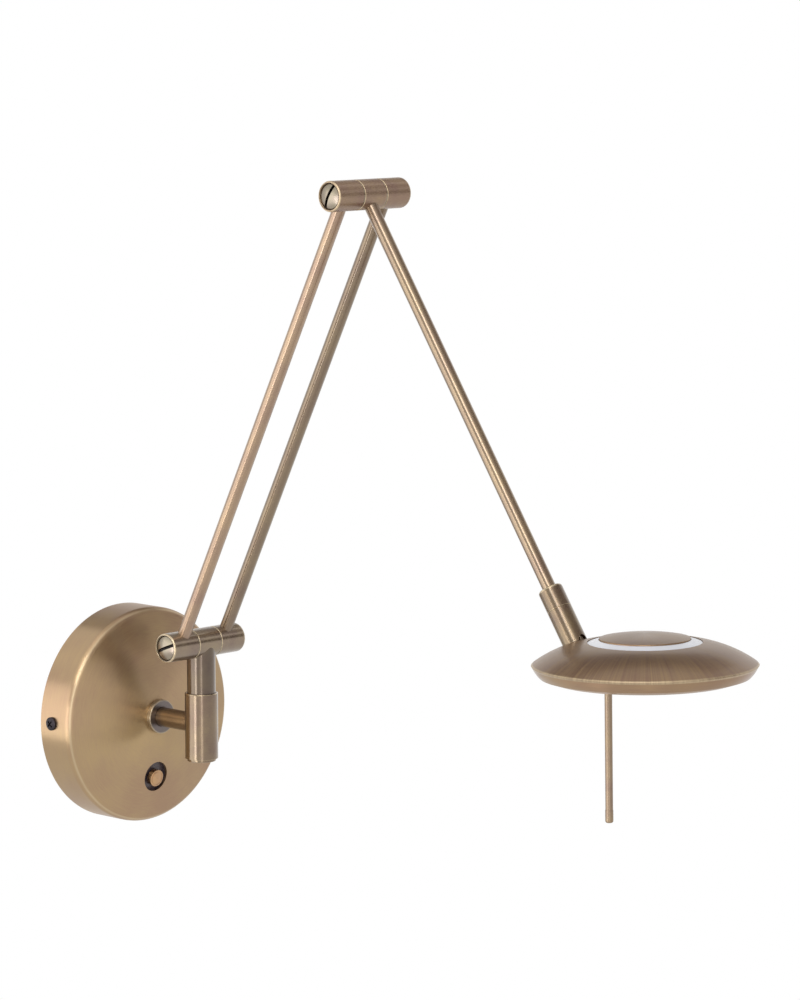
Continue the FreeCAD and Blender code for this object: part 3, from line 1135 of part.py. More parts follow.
light_board = body("light_board", HEAD)
BOARD_LOW = f"({CARRIER_LOW} - board_thick)"
BOARD_RADIUS = f"({WINDOW_RADIUS} - board_inset)"
padded(light_board, [("0", "0", BOARD_RADIUS), ("0", GUIDE_OFFSET, "guide_radius + part_gap")],
       "board_thick", shift=("0", "0", BOARD_LOW))
light_chips = body("light_chips", HEAD)
chips(light_chips, f"({BOARD_RADIUS} - chip_inset)", f"{BOARD_LOW} - chip_thick", "outer_chip_count")
chips(light_chips, f"{GUIDE_OFFSET} * inner_circle_share", f"{BOARD_LOW} - chip_thick", "inner_chip_count")

# Opal disc of the reading light
lower_diffuser = body("lower_diffuser", HEAD)
padded(lower_diffuser, [
    ("0", "0", f"{POCKET_EDGE} - ring_gap"), ("0", GUIDE_OFFSET, "guide_radius + ring_gap"),
], "diffuser_thick", shift=("0", "0", LEDGE))

# Guide rod under the head, by which the head is turned. Its thin end is pressed into the tip.
TIP_TOP = "(tip_length - guide_drop)"
guide_rod = body("guide_rod", HEAD)
padded(guide_rod, [("0", GUIDE_OFFSET, "guide_radius")], f"{CARRIER_TOP} + guide_tail - {TIP_TOP}",
       shift=("0", "0", TIP_TOP))
padded(guide_rod, [("0", GUIDE_OFFSET, "tip_spigot")], "tip_length - tip_floor - side_gap + edge_break",
       shift=("0", "0", "tip_floor + side_gap - guide_drop"))
guide_rod_nut = body("guide_rod_nut", HEAD)
padded(guide_rod_nut, [hex_points("guide_nut_width", "0", GUIDE_OFFSET),
                       ("0", GUIDE_OFFSET, "guide_radius + fit_gap")],
       "guide_nut_thick", shift=("0", "0", CARRIER_TOP))
guide_rod_collar = body("guide_rod_collar", HEAD)
COLLAR_LOW = f"({LEDGE} - guide_collar_thick)"
padded(guide_rod_collar, [("0", GUIDE_OFFSET, "guide_collar_radius"),
                          ("0", GUIDE_OFFSET, "guide_radius + fit_gap")],
       "guide_collar_thick", shift=("0", "0", COLLAR_LOW))
dressed(guide_rod_collar, "Fillet", "edge_break", circle_at("guide_collar_radius", COLLAR_LOW))
guide_rod_tip = body("guide_rod_tip", HEAD)
padded(guide_rod_tip, [("0", GUIDE_OFFSET, "tip_radius")], "tip_length",
       shift=("0", "0", "-guide_drop"))
dressed(guide_rod_tip, "Fillet", "tip_radius / 2", circle_at("tip_radius", "-guide_drop"))
pocketed(guide_rod_tip, [("0", GUIDE_OFFSET, "tip_spigot + fit_gap")], "tip_length - tip_floor",
         shift=("0", "0", TIP_TOP))

# Every object has to be sound before anything is written
doc.recompute()
for thing in doc.Objects:
    if "Invalid" in thing.State or "Error" in thing.State:
        raise RuntimeError(f"{thing.Label} is {thing.State}")
for piece in PIECES:
    if piece.Shape.isNull() or not piece.Shape.isValid() or not piece.Shape.Solids:
        raise RuntimeError(f"{piece.Label} has no sound shape")
os.makedirs("parts", exist_ok=True)
for piece in PIECES:
    piece.Shape.exportStep(f"parts/{piece.Label}.step")
    print(f"{piece.Label}: {len(piece.Shape.Solids)} solid(s), {piece.Shape.Volume:.1f} mm3")
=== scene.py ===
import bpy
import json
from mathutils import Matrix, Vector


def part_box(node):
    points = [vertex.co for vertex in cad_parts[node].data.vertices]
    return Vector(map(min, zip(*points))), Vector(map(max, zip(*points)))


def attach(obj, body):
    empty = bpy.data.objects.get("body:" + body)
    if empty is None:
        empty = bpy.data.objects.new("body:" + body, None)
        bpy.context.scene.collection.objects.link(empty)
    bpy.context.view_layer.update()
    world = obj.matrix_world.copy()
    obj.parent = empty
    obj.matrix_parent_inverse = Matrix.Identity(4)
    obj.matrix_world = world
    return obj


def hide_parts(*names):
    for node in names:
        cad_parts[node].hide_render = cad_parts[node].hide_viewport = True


bl_info = {
    "name": "Wall reading lamp",
    "version": (1, 1, 0),
    "blender": (4, 5, 0),
    "location": "View3D > Sidebar > Lamp",
    "description": "Turns the lamp's barrels and rods, finishes all its pieces and sets its stage",
    "category": "Object",
}

import json
import math
import bpy
import numpy as np
from bpy.props import FloatProperty, FloatVectorProperty, PointerProperty
from mathutils import Matrix, Vector

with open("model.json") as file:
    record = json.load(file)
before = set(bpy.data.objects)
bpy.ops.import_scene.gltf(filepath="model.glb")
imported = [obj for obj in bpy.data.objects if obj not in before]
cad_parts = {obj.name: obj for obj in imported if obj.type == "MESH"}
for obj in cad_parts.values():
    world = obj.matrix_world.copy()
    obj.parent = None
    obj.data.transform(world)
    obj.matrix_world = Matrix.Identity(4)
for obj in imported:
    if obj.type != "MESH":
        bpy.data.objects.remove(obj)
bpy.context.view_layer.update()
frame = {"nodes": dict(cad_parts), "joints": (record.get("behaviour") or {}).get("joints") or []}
NODES = frame["nodes"]
MM = 0.001
MICRON = 0.001 * MM

# Places of the lamp's own frames, read from the joints
JOINTS = {joint["name"]: joint for joint in frame["joints"]}
LOWER_HINGE = Vector(JOINTS["lower_arm_hinge"]["pos_m"])
ELBOW = Vector(JOINTS["elbow_hinge"]["pos_m"])
TILT_PIN = Vector(JOINTS["head_tilt"]["pos_m"])
SWIVEL = Vector(JOINTS["post_swivel"]["pos_m"])
BUTTON_WAY = Vector(JOINTS["button_press"]["axis"])
LOWER_LINE = (ELBOW - LOWER_HINGE).normalized()
UPPER_LINE = (ELBOW - TILT_PIN).normalized()
ORIGIN, X_AXIS, Y_AXIS, Z_AXIS = Vector(), Vector((1, 0, 0)), Vector((0, 1, 0)), Vector((0, 0, 1))


def middle(node):
    """The middle of a node's box."""
    low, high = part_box(node)
    return (low + high) / 2


def extent(node):
    """The size of a node's box."""
    low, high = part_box(node)
    return high - low


# The head hangs this many degrees off level in the photograph
HEAD_LEAN = -1.1
HEAD_MIDDLE = middle("centre_cap")
HEAD_AXIS = Matrix.Rotation(math.radians(HEAD_LEAN), 3, "X") @ Z_AXIS


# ---------------------------------------------------------------- node helpers

# Nearly all values of a noise texture lie in this range
NOISE_RANGE = (0.3, 0.7)


def linear(code):
    """A colour written as sRGB hex, in Blender's linear values."""
    parts = [int(code[i:i + 2], 16) / 255 for i in (1, 3, 5)]
    return [v / 12.92 if v <= 0.04045 else ((v + 0.055) / 1.055) ** 2.4 for v in parts]


def add(tree, kind, links=None, **settings):
    """Adds a node. Settings are its properties; links gives each input a value or a socket."""
    node = tree.nodes.new(kind)
    for name, value in settings.items():
        setattr(node, name, value)
    for name, value in (links or {}).items():
        socket = node.inputs[name]
        if isinstance(value, bpy.types.NodeSocket):
            tree.links.new(value, socket)
        else:
            socket.default_value = value
    return node


def blank(name):
    """A new material with an empty tree, its surface shader and its output."""
    material = bpy.data.materials.new(name)
    material.use_nodes = True
    tree = material.node_tree
    tree.nodes.clear()
    shader = add(tree, "ShaderNodeBsdfPrincipled")
    add(tree, "ShaderNodeOutputMaterial", {"Surface": shader.outputs["BSDF"]})
    return material, tree, shader


def surfaced(tree, socket):
    """Puts another shader on a material's surface."""
    output = next(node for node in tree.nodes if node.bl_idname == "ShaderNodeOutputMaterial")
    tree.links.new(socket, output.inputs["Surface"])


def shades(tree, factor, stops):
    """A colour ramp from (position, linear colour) pairs."""
    node = add(tree, "ShaderNodeValToRGB", {"Fac": factor})
    elements = node.color_ramp.elements
    while len(elements) < len(stops):
        elements.new(0.5)
    for element, (position, colour) in zip(elements, stops):
        element.position = position
        element.color = [min(max(v, 0), 1) for v in colour] + [1]
    return node.outputs["Color"]


def spread(tree, value, low, high, source=NOISE_RANGE):
    """Maps one range of a number to another, and holds it at the ends."""
    return add(tree, "ShaderNodeMapRange", {
        "Value": value, "From Min": source[0], "From Max": source[1],
        "To Min": low, "To Max": high}).outputs["Result"]


def facing(direction):
    """The turn that brings local Z to a direction."""
    return Z_AXIS.rotation_difference(Vector(direction)).to_euler()


def dressed(node, material):
    """Gives a carried-over solid its material."""
    mesh = NODES[node].data
    mesh.materials.clear()
    mesh.materials.append(material)


# ---------------------------------------------------------------- turned pieces

# The rounding of a corner that stays sharp, and how far the guard points stand from an arc, as a
# share of its radius
SHARP_ROUND = 0.05 * MM
GUARD_SHARE = 0.35
ARC_STEPS = 6
# How many sides a barrel and a rod have round the axis
BARREL_SIDES, ROD_SIDES = 144, 96


def rounded(corners):
    """A closed outline with its corners rounded. Each corner is (along, radius, round) in metres.
    An arc of the given radius touches both neighbouring sides: its centre lies on the corner's
    bisector at round / sin(half angle), and its points turn evenly from one touching point to the
    other. One guard point stays beside each end, so that flat sides shade flat. Returns the points
    and how much worn edge with painted highlight each one gets: 1 in the middle of the arc of a
    rounded corner, 0 at a sharp one."""
    corners = np.array(corners, float)
    points, wear_and_highlight = [], []
    neighbours = zip(np.roll(corners, 1, 0), corners, np.roll(corners, -1, 0))
    for before, (z, r, rounding), after in neighbours:
        here = np.array((z, r))
        a, b = before[:2] - here, after[:2] - here
        a, b = a / np.linalg.norm(a), b / np.linalg.norm(b)
        worn_and_highlit = 1.0 if rounding > 0 else 0.0
        rounding = rounding or SHARP_ROUND
        half = math.acos(np.clip(a @ b, -1, 1)) / 2
        reach = rounding / math.tan(half)
        centre = here + (a + b) / np.linalg.norm(a + b) * rounding / math.sin(half)
        start, end = here + a * reach - centre, here + b * reach - centre
        sweep = math.pi - 2 * half
        t = np.linspace(0, 1, ARC_STEPS + 1)[:, None]
        arc = start * np.sin((1 - t) * sweep) + end * np.sin(t * sweep)
        arc = centre + arc / math.sin(sweep)
        guard = GUARD_SHARE * rounding
        points.append(np.vstack([here + a * (reach + guard), arc, here + b * (reach + guard)]))
        # The arcs of rounded corners carry wear and a painted edge highlight
        wear_and_highlight.append(np.concatenate([[0], worn_and_highlit * np.sin(np.pi * t[:, 0]) ** 0.5, [0]]))
    return np.vstack(points), np.concatenate(wear_and_highlight)


def turned(name, corners, centre, axis, around=BARREL_SIDES):
    """A closed ring turned on a lathe. Its surface is centre + along * axis + radius *
    (cos(angle) * side + sin(angle) * other side), with (along, radius) from the rounded outline
    and the angle over a full turn. The outline runs so that the faces point out of the metal."""
    outline, wear_and_highlight = rounded(corners)
    z, r = outline[:, 0], outline[:, 1]
    if np.sum(z * np.roll(r, -1) - np.roll(z, -1) * r) < 0:
        outline, wear_and_highlight = outline[::-1], wear_and_highlight[::-1]
    turn = Z_AXIS.rotation_difference(Vector(axis)).to_matrix()
    side, other, along = (np.array(turn.col[i]) for i in range(3))
    angle = np.linspace(0, 2 * np.pi, around, endpoint=False)[None, :, None]
    z, r = outline[:, 0, None, None], outline[:, 1, None, None]
    grid = np.array(centre) + z * along + r * (np.cos(angle) * side + np.sin(angle) * other)
    index = np.arange(len(outline) * around).reshape(-1, around)
    above, beside = np.roll(index, -1, 0), np.roll(index, -1, 1)
    faces = np.stack([index, above, np.roll(above, -1, 1), beside], -1).reshape(-1, 4)
    mesh = bpy.data.meshes.new(name)
    mesh.from_pydata(grid.reshape(-1, 3), [], faces)
    mesh.shade_smooth()
    # Each point's share of worn edge with its painted highlight
    worn_and_highlit = mesh.attributes.new("wear_and_highlight", "FLOAT", "POINT")
    worn_and_highlit.data.foreach_set("value", np.repeat(wear_and_highlight, around).astype(np.float32))
    piece = bpy.data.objects.new(name, mesh)
    bpy.context.scene.collection.objects.link(piece)
    return piece


def fitted(piece, body, node, material):
    """Puts a finished piece on its body, in the place of the solid that it stands for."""
    piece.data.materials.append(material)
    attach(piece, body)
    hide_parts(node)


# ---------------------------------------------------------------- finishes

# Each brass finish: low and high roughness, anisotropy, spacing of the lines in mm along and from
# the axis, their depth in micrometres, size of the cloudy patina in mm, how far the tone moves,
# whether the lines run outward from the axis or round it, and how much clear lacquer lies on it.
# The lines are drawn several times coarser than real tool marks, so that they show.
BRASS_FINISHES = {
    # Spun brass, brushed in rings, antiqued and lacquered: a soft bow-tie sheen, no sharp mirror
    "spun_brass": dict(rough=(0.31, 0.36), stretch=0.90, line=1.4, depth=0.5, cloud=45.0, tone=0.10,
                       outward=False, coat=0.15),
    # Turned brass, antiqued: crisp streaks of light along the barrel, fine tool marks across them
    "turned_brass": dict(rough=(0.29, 0.37), stretch=0.88, line=1.8, depth=0.2, cloud=14.0,
                         tone=0.15, outward=False, coat=0.8),
    # Brass dulled by hands where the lamp is gripped: the streaks melt into an even sheen
    "handled_brass": dict(rough=(0.45, 0.52), stretch=0.40, line=1.8, depth=0.08, cloud=12.0,
                          tone=0.10, outward=False, coat=0.35),
    # Drawn brass tube, antiqued: the crispest streaks, with slow clouds of patina along the rod
    "drawn_brass": dict(rough=(0.30, 0.34), stretch=0.90, line=3.2, depth=0.2, cloud=26.0,
                        tone=0.14, outward=False, coat=0.8),
    # Spun dish rubbed from the middle outward: faint rays over a brown patina
    "rubbed_brass": dict(rough=(0.34, 0.44), stretch=0.40, line=55.6, depth=0.5, cloud=30.0,
                         tone=0.14, outward=True, coat=0.3),
    # Bright turned brass of screw heads and bushes: pale, nearly polished
    "bright_brass": dict(rough=(0.28, 0.33), stretch=0.45, line=0.8, depth=0.4, cloud=9.0,
                         tone=0.08, outward=False, coat=0.2),
}
# How often the lines change per radian round the axis: seldom on turned work, often on rays
ROUND_CHANGES, RAY_CHANGES = 3.6, 34.0
# How much the distance along the axis counts beside the distance from it: both give lines
ALONG_SHARE = 1.37
# The fine lines beside the coarse ones: how many more there are, how much they count beside the
# clouds in the tone of turned work and of outward rays, and how far they break up the painted
# highlight of worn edges
FINE_SCALE = 1.7
ROUND_BLEND, RAY_BLEND = 0.25, 0.55
WEAR_AND_HIGHLIGHT_BREAK = (0.55, 1.0)
# Where the dark, middle and light tones of the patina lie in the range of its noise
TONE_STOPS = (0.34, 0.5, 0.66)
# Red, green and blue of the patina's tones: purple where it gathers, golden where it is thin
DARK_TINGE, LIGHT_TINGE = (1.0, 0.94, 1.03), (1.0, 1.02, 0.93)
# Pale brass for worn edges, partly wear and partly a painted highlight; the near-black painted
# shade and grime of a slot, and how rough that dark is
WORN_AND_HIGHLIT_BRASS, SLOT_SHADE_AND_GRIME, SLOT_SHADE_ROUGHNESS = "#CFBB98", "#1E1610", 0.7
# A rim's painted highlight: how strong it is, and the distances from its radius over which that
# fades
RIM_HIGHLIGHT, RIM_HIGHLIGHT_BAND = 0.7, (0.1 * MM, 0.8 * MM)
# The slot's painted shade and grime fade out between these depths inside the ball that holds them
SLOT_SHADE_BAND = (0.25 * MM, 0.05 * MM)
COAT_ROUGHNESS = 0.18


def brass(name, finish, colour, centre, axis, recess=None, rim=None):
    """Antiqued brass round an axis. The local coordinates are centred and turned so that Z is the
    axis. Lines are a noise whose fast coordinate is the distance along and from the axis, or the
    direction round it for outward rays. Patina is a slow cloudy noise, darker and more purple
    where it gathers, more golden where it is thin. Edges that the piece marks as worn get pale
    brass, partly wear and partly a painted highlight, or else a rim, the band at that radius, gets
    it as a painted highlight. A recess (middle, radius) is the room inside a ball that is painted
    near-black, painted shade with some grime, as in a screw's slot."""
    look = BRASS_FINISHES[finish]
    outward = look["outward"]
    material, tree, shader = blank(name)
    place = add(tree, "ShaderNodeTexCoord").outputs["Object"]
    local = add(tree, "ShaderNodeMapping", {
        "Vector": place, "Location": Vector(centre), "Rotation": facing(axis)},
        vector_type="TEXTURE").outputs["Vector"]
    xyz = add(tree, "ShaderNodeSeparateXYZ", {"Vector": local})
    flat = add(tree, "ShaderNodeCombineXYZ", {
        "X": xyz.outputs["X"], "Y": xyz.outputs["Y"]}).outputs["Vector"]
    radius = add(tree, "ShaderNodeVectorMath", {0: flat}, operation="LENGTH").outputs["Value"]
    heading = add(tree, "ShaderNodeVectorMath", {0: flat}, operation="NORMALIZE").outputs["Vector"]
    along = add(tree, "ShaderNodeMath", {0: xyz.outputs["Z"], 1: ALONG_SHARE, 2: radius},
                operation="MULTIPLY_ADD").outputs["Value"]
    rings = add(tree, "ShaderNodeVectorMath", {
        0: heading, "Scale": RAY_CHANGES if outward else ROUND_CHANGES},
        operation="SCALE").outputs["Vector"]
    step = add(tree, "ShaderNodeMath", {0: along, 1: 1 / (look["line"] * MM)},
               operation="MULTIPLY").outputs["Value"]
    rise = add(tree, "ShaderNodeCombineXYZ", {"Z": step}).outputs["Vector"]
    grid = add(tree, "ShaderNodeVectorMath", {0: rings, 1: rise}, operation="ADD").outputs["Vector"]
    lines = add(tree, "ShaderNodeTexNoise", {
        "Vector": grid, "Scale": 1.0, "Detail": 2.0, "Roughness": 0.5}).outputs["Fac"]
    fine = add(tree, "ShaderNodeTexNoise", {
        "Vector": grid, "Scale": FINE_SCALE, "Detail": 1.0, "Roughness": 0.5}).outputs["Fac"]
    cloud = add(tree, "ShaderNodeTexNoise", {
        "Vector": local, "Scale": 1 / (look["cloud"] * MM),
        "Detail": 3.0, "Roughness": 0.5}).outputs["Fac"]
    blend = add(tree, "ShaderNodeMix", {
        "Factor": RAY_BLEND if outward else ROUND_BLEND, "A": cloud, "B": fine}, data_type="FLOAT")
    move = look["tone"]
    dark = [v * (1 - move) * f for v, f in zip(colour, DARK_TINGE)]
    light = [v * (1 + move) * f for v, f in zip(colour, LIGHT_TINGE)]
    tone = shades(tree, blend.outputs["Result"], list(zip(TONE_STOPS, (dark, colour, light))))
    gloss = spread(tree, fine, *look["rough"])

    # Worn edges: pale brass, partly wear and partly a painted highlight, broken up by the lines; a
    # rim band is painted highlight
    if rim:
        off = add(tree, "ShaderNodeMath", {0: radius, 1: rim},
                  operation="SUBTRACT").outputs["Value"]
        off = add(tree, "ShaderNodeMath", {0: off}, operation="ABSOLUTE").outputs["Value"]
        wear_and_highlight = spread(tree, off, RIM_HIGHLIGHT, 0.0, RIM_HIGHLIGHT_BAND)
    else:
        wear_and_highlight = add(tree, "ShaderNodeAttribute", attribute_name="wear_and_highlight").outputs["Fac"]
    rubbed_and_highlit = add(tree, "ShaderNodeMath", {0: wear_and_highlight, 1: spread(tree, fine, *WEAR_AND_HIGHLIGHT_BREAK)},
                 operation="MULTIPLY").outputs["Value"]
    tone = add(tree, "ShaderNodeMix", {
        "Factor": rubbed_and_highlit, "A": tone, "B": linear(WORN_AND_HIGHLIT_BRASS) + [1]},
        data_type="RGBA").outputs["Result"]

    # Painted shade, with some grime, in a slot
    if recess:
        ball_middle, ball_radius = recess
        away = add(tree, "ShaderNodeVectorMath", {0: place, 1: ball_middle}, operation="DISTANCE")
        slot_shade_and_grime = spread(tree, away.outputs["Value"], 1.0, 0.0, [ball_radius - v for v in SLOT_SHADE_BAND])
        tone = add(tree, "ShaderNodeMix", {
            "Factor": slot_shade_and_grime, "A": tone, "B": linear(SLOT_SHADE_AND_GRIME) + [1]},
            data_type="RGBA").outputs["Result"]
        gloss = add(tree, "ShaderNodeMix", {
            "Factor": slot_shade_and_grime, "A": gloss, "B": SLOT_SHADE_ROUGHNESS},
            data_type="FLOAT").outputs["Result"]
    tree.links.new(tone, shader.inputs["Base Color"])
    tree.links.new(gloss, shader.inputs["Roughness"])
    shader.inputs["Metallic"].default_value = 1
    shader.inputs["Coat Weight"].default_value = look["coat"]
    shader.inputs["Coat Roughness"].default_value = COAT_ROUGHNESS
    shader.inputs["Anisotropic"].default_value = look["stretch"]
    shader.inputs["Anisotropic Rotation"].default_value = 0.0 if outward else 0.25

    # The brush marks' direction: square to the axis and to the way out from it
    offset = add(tree, "ShaderNodeVectorMath", {0: place, 1: Vector(centre)},
                 operation="SUBTRACT").outputs["Vector"]
    sideways = add(tree, "ShaderNodeVectorMath", {0: Vector(axis), 1: offset},
                   operation="CROSS_PRODUCT").outputs["Vector"]
    turned_way = add(tree, "ShaderNodeVectorTransform", {"Vector": sideways}, vector_type="VECTOR",
                     convert_from="OBJECT", convert_to="WORLD").outputs["Vector"]
    unit = add(tree, "ShaderNodeVectorMath", {0: turned_way},
               operation="NORMALIZE").outputs["Vector"]
    tree.links.new(unit, shader.inputs["Tangent"])

    # The noise spans less than half of its height, so the depth counts twice
    bump = add(tree, "ShaderNodeBump", {
        "Height": lines, "Strength": 0.8, "Distance": 2 * look["depth"] * MICRON})
    tree.links.new(bump.outputs["Normal"], shader.inputs["Normal"])
    return material


# Plain finishes: two sRGB tones, low and high roughness, metallic, grain in mm, bump in mm
PLAIN_FINISHES = {
    # Zinc-plated steel: cool grey with a faint cloudy sheen
    "zinc_plated_steel": dict(tones=("#A8ABB0", "#C6C9CE"), rough=(0.25, 0.38), metal=1.0,
                              grain=1.2, bump=0.002),
    # Black-oxide steel: nearly black with a purple tinge, and dull soft highlights
    "black_oxide_steel": dict(tones=("#211C20", "#352E33"), rough=(0.30, 0.44), metal=0.7,
                              grain=0.6, bump=0.004),
    # Aluminium sheet: pale, brushed dull by rolling
    "rolled_aluminium": dict(tones=("#B4B7BB", "#CDD0D4"), rough=(0.32, 0.44), metal=1.0, grain=2.5,
                             bump=0.003),
    # Opal acrylic: milky and smooth, a little blue in daylight
    "opal_acrylic": dict(tones=("#D6D7DC", "#DADBE1"), rough=(0.24, 0.28), metal=0.0, grain=14.0,
                         bump=0.002),
    # Moulded black ABS: fine spark-eroded grain
    "moulded_black_abs": dict(tones=("#2A211C", "#3A302A"), rough=(0.40, 0.54), metal=0.0,
                              grain=0.35, bump=0.012),
    # The same black ABS polished by its mould; its lighter, purple tones are a painted reflection
    # of the room
    "polished_black_abs": dict(tones=("#453A3C", "#54474B"), rough=(0.24, 0.32), metal=0.0,
                               grain=1.6, bump=0.002),
    # Moulded white polycarbonate: warm white with a fine grain
    "moulded_white_polycarbonate": dict(tones=("#DCDCD8", "#ECECE8"), rough=(0.4, 0.52), metal=0.0,
                                        grain=0.5, bump=0.01),
    # Turned acetal washers: cream and slippery
    "turned_acetal": dict(tones=("#D8D2C2", "#E8E3D6"), rough=(0.3, 0.4), metal=0.0, grain=1.0,
                          bump=0.003),
    # White solder mask on a light board
    "white_solder_mask": dict(tones=("#DADEDC", "#EEF1EF"), rough=(0.28, 0.36), metal=0.0,
                              grain=3.0, bump=0.003),
    # Phosphor of the light chips: yellow gel
    "phosphor_gel": dict(tones=("#D9BE4E", "#EBD676"), rough=(0.3, 0.42), metal=0.0, grain=0.5,
                         bump=0.006),
    # Rubber of the grommet: black and dull
    "black_rubber": dict(tones=("#151515", "#232323"), rough=(0.62, 0.78), metal=0.0, grain=0.8,
                         bump=0.02),
}
PLAIN_NODES = {
    "zinc_plated_steel": ("wall_bracket", "driver_screws", "tooth_washer", "disc_washer",
                          "post_screw", "tilt_pin", "lug_screws", "shell_screws", "guide_rod_nut",
                          "cap_stud"),
    "black_oxide_steel": ("canopy_screws",),
    "rolled_aluminium": ("carrier_plate",),
    "opal_acrylic": ("uplight_diffuser", "lower_diffuser"),
    "moulded_black_abs": ("dimmer_housing",),
    "polished_black_abs": ("dimmer_bezel",),
    "moulded_white_polycarbonate": ("led_driver", "terminal_block"),
    "turned_acetal": ("thrust_washer", "swivel_washer"),
    "white_solder_mask": ("uplight_board", "light_board"),
    "phosphor_gel": ("uplight_chips", "light_chips"),
    "black_rubber": ("cable_grommet",),
}
# Where the dark and the light tone lie in the range of the noise
PLAIN_STOPS = (0.35, 0.65)


def plain(name):
    """An even material: cloudy noise moves the tone and the roughness a little and gives a bump."""
    look = PLAIN_FINISHES[name]
    material, tree, shader = blank(name)
    place = add(tree, "ShaderNodeTexCoord").outputs["Object"]
    noise = add(tree, "ShaderNodeTexNoise", {
        "Vector": place, "Scale": 1 / (look["grain"] * MM),
        "Detail": 4.0, "Roughness": 0.6}).outputs["Fac"]
    stops = list(zip(PLAIN_STOPS, (linear(code) for code in look["tones"])))
    tree.links.new(shades(tree, noise, stops), shader.inputs["Base Color"])
    tree.links.new(spread(tree, noise, *look["rough"]), shader.inputs["Roughness"])
    shader.inputs["Metallic"].default_value = look["metal"]
    bump = add(tree, "ShaderNodeBump", {
        "Height": noise, "Strength": 0.4, "Distance": look["bump"] * MM})
    tree.links.new(bump.outputs["Normal"], shader.inputs["Normal"])
    return material


def tint(name, description, code):
    """A colour of the finishes that the user may change."""
    return FloatVectorProperty(name=name, description=description, default=linear(code),
                               subtype="COLOR")


def size(name, description, value):
    """A length that the user may change."""
    return FloatProperty(name=name, description=description, default=value, unit="LENGTH",
                         precision=5)


def level(name, description, value):
    """A brightness that the user may change."""
    return FloatProperty(name=name, description=description, default=value, subtype="UNSIGNED")


class LampFinishes(bpy.types.PropertyGroup):
    """Middle tones of the brass pieces."""
    canopy: tint("Canopy", "Spun brass of the canopy", "#AE9372")
    stub: tint("Stub", "Turned brass of the stub", "#7C6449")
    # The collar's darker, greyer tone is a painted reflection of the stub and the dark around it
    collar: tint("Collar", "Darker turned brass of the collar round the stub", "#6F6560")
    barrel: tint("Fixed barrel", "Turned brass of the fixed barrel", "#84705A")
    post: tint("Post", "Turned brass of the swivel post", "#6A5A4A")
    lower_hinge: tint("Lower hinge", "Turned brass of the lower hinge", "#8C7A66")
    elbow: tint("Elbow", "Turned brass of the elbow", "#9B826D")
    # The near rod's lighter tone and the far rod's darker one are painted light and shade: both are
    # the same drawn brass
    near_rod: tint("Near rod", "Drawn brass of the near lower rod", "#A38971")
    far_rod: tint("Far rod", "Drawn brass of the far lower rod", "#83705B")
    upper_rod: tint("Upper rod", "Drawn brass of the upper rod", "#937E66")
    joint: tint("Head joint", "Turned brass of the sleeve and tube at the head", "#7A6750")
    head: tint("Head", "Rubbed brass of the head's top", "#8D745B")
    band: tint("Head band", "Spun brass of the head's lower shell", "#9C8166")
    guide: tint("Guide rod", "Dulled brass of the rod that aims the head", "#98836D")
    screws: tint("Screws", "Bright brass of screw heads and bushes", "#948A79")
    button: tint("Button", "Turned brass of the dimmer button", "#B48C64")


# The turned hinge barrels stay this far inside the solids, so that rounding never leaves their box
HINGE_INSET = 2 * MICRON


class LampSizes(bpy.types.PropertyGroup):
    """Sizes of the turned pieces, taken from the solids that they stand for."""
    hinge_radius: size("Hinge radius", "Outside of the hinge barrels",
                       extent("post_knuckle").y / 2 - HINGE_INSET)
    hinge_half: size("Hinge half length", "Middle plane to a hinge's end",
                     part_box("lower_far_barrel")[1].x)
    barrel_start: size("Outer barrels", "Middle plane to the outer barrels",
                       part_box("lower_far_barrel")[0].x)
    knuckle_half: size("Knuckle half length", "Middle plane to the knuckle's end",
                       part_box("post_knuckle")[1].x)
    rod_radius: size("Rod radius", "Outside of the arm rods", extent("upper_rod").x / 2)
    rod_seat: size("Rod seat", "Hinge axis to a rod's end", 6.6 * MM)
    fixed_radius: size("Fixed barrel radius", "Outside of the fixed barrel",
                       extent("swivel_barrel").x / 2)
    post_radius: size("Post radius", "Outside of the swivel post", extent("swivel_post").x / 2)
    sleeve_radius: size("Sleeve radius", "Outside of the sleeve at the head",
                        extent("joint_sleeve").x / 2)
    worn_edge: size("Worn edge", "Rounding of the turned edges", 0.45 * MM)
    # The canopy's and the head's rubbed rims are painted highlights at these radii
    canopy_rim: size("Canopy rim", "Radius of the canopy's rubbed rim", 65.7 * MM)
    head_rim: size("Head rim", "Radius of the head's rubbed rim", 62.6 * MM)


class LampStage(bpy.types.PropertyGroup):
    """Sizes and strengths of the stage."""
    floor_drop: size("Floor drop", "Floor under the middle of the canopy", 0.75)
    strip_level: level("Strips", "Brightness of the three strip lights", 5.0)
    bank_level: level("Side bank", "Brightness of the wide side light", 1.4)
    top_level: level("Top light", "Brightness of the light overhead", 1.0)
    sky: level("Sky", "Strength of the even light", 0.62)
    floor_colour: tint("Floor colour", "Colour of the floor", "#F4F4F4")


# ---------------------------------------------------------------- operators

# Small sizes of the turned pieces, as in the solids whose places they take. Hinges: the near barrel
# is counterbored for the screw's head, and the far one is closed but for a hole too small to see
SHANK_BORE, KNUCKLE_BORE = 3.05 * MM, 6.5 * MM
COUNTERBORE, COUNTERBORE_DEPTH, COUNTERBORE_ROUND = 7.55 * MM, 5.5 * MM, 0.3 * MM
NEAR_END_ROUND, FAR_END_ROUND, FAR_END_WALL = 1.0 * MM, 2.2 * MM, 4 * MM
PIN_HOLE = 0.02 * MM
# Rods: the upper one starts inside the sleeve at the head
UPPER_ROD_START, ROD_BORE_SHARE = 14.3 * MM, 0.7
# Fixed barrel: wide below for its cap, narrow for the post's screw, then the post's own bore
CAP_BORE, CAP_BORE_TOP = 8 * MM, -12 * MM
POST_SCREW_BORE, POST_SEAT, POST_PLAY = 3.1 * MM, -9 * MM, 0.05 * MM
FOOT_ROUND, MOUTH_ROUND = 0.2 * MM, 0.4 * MM
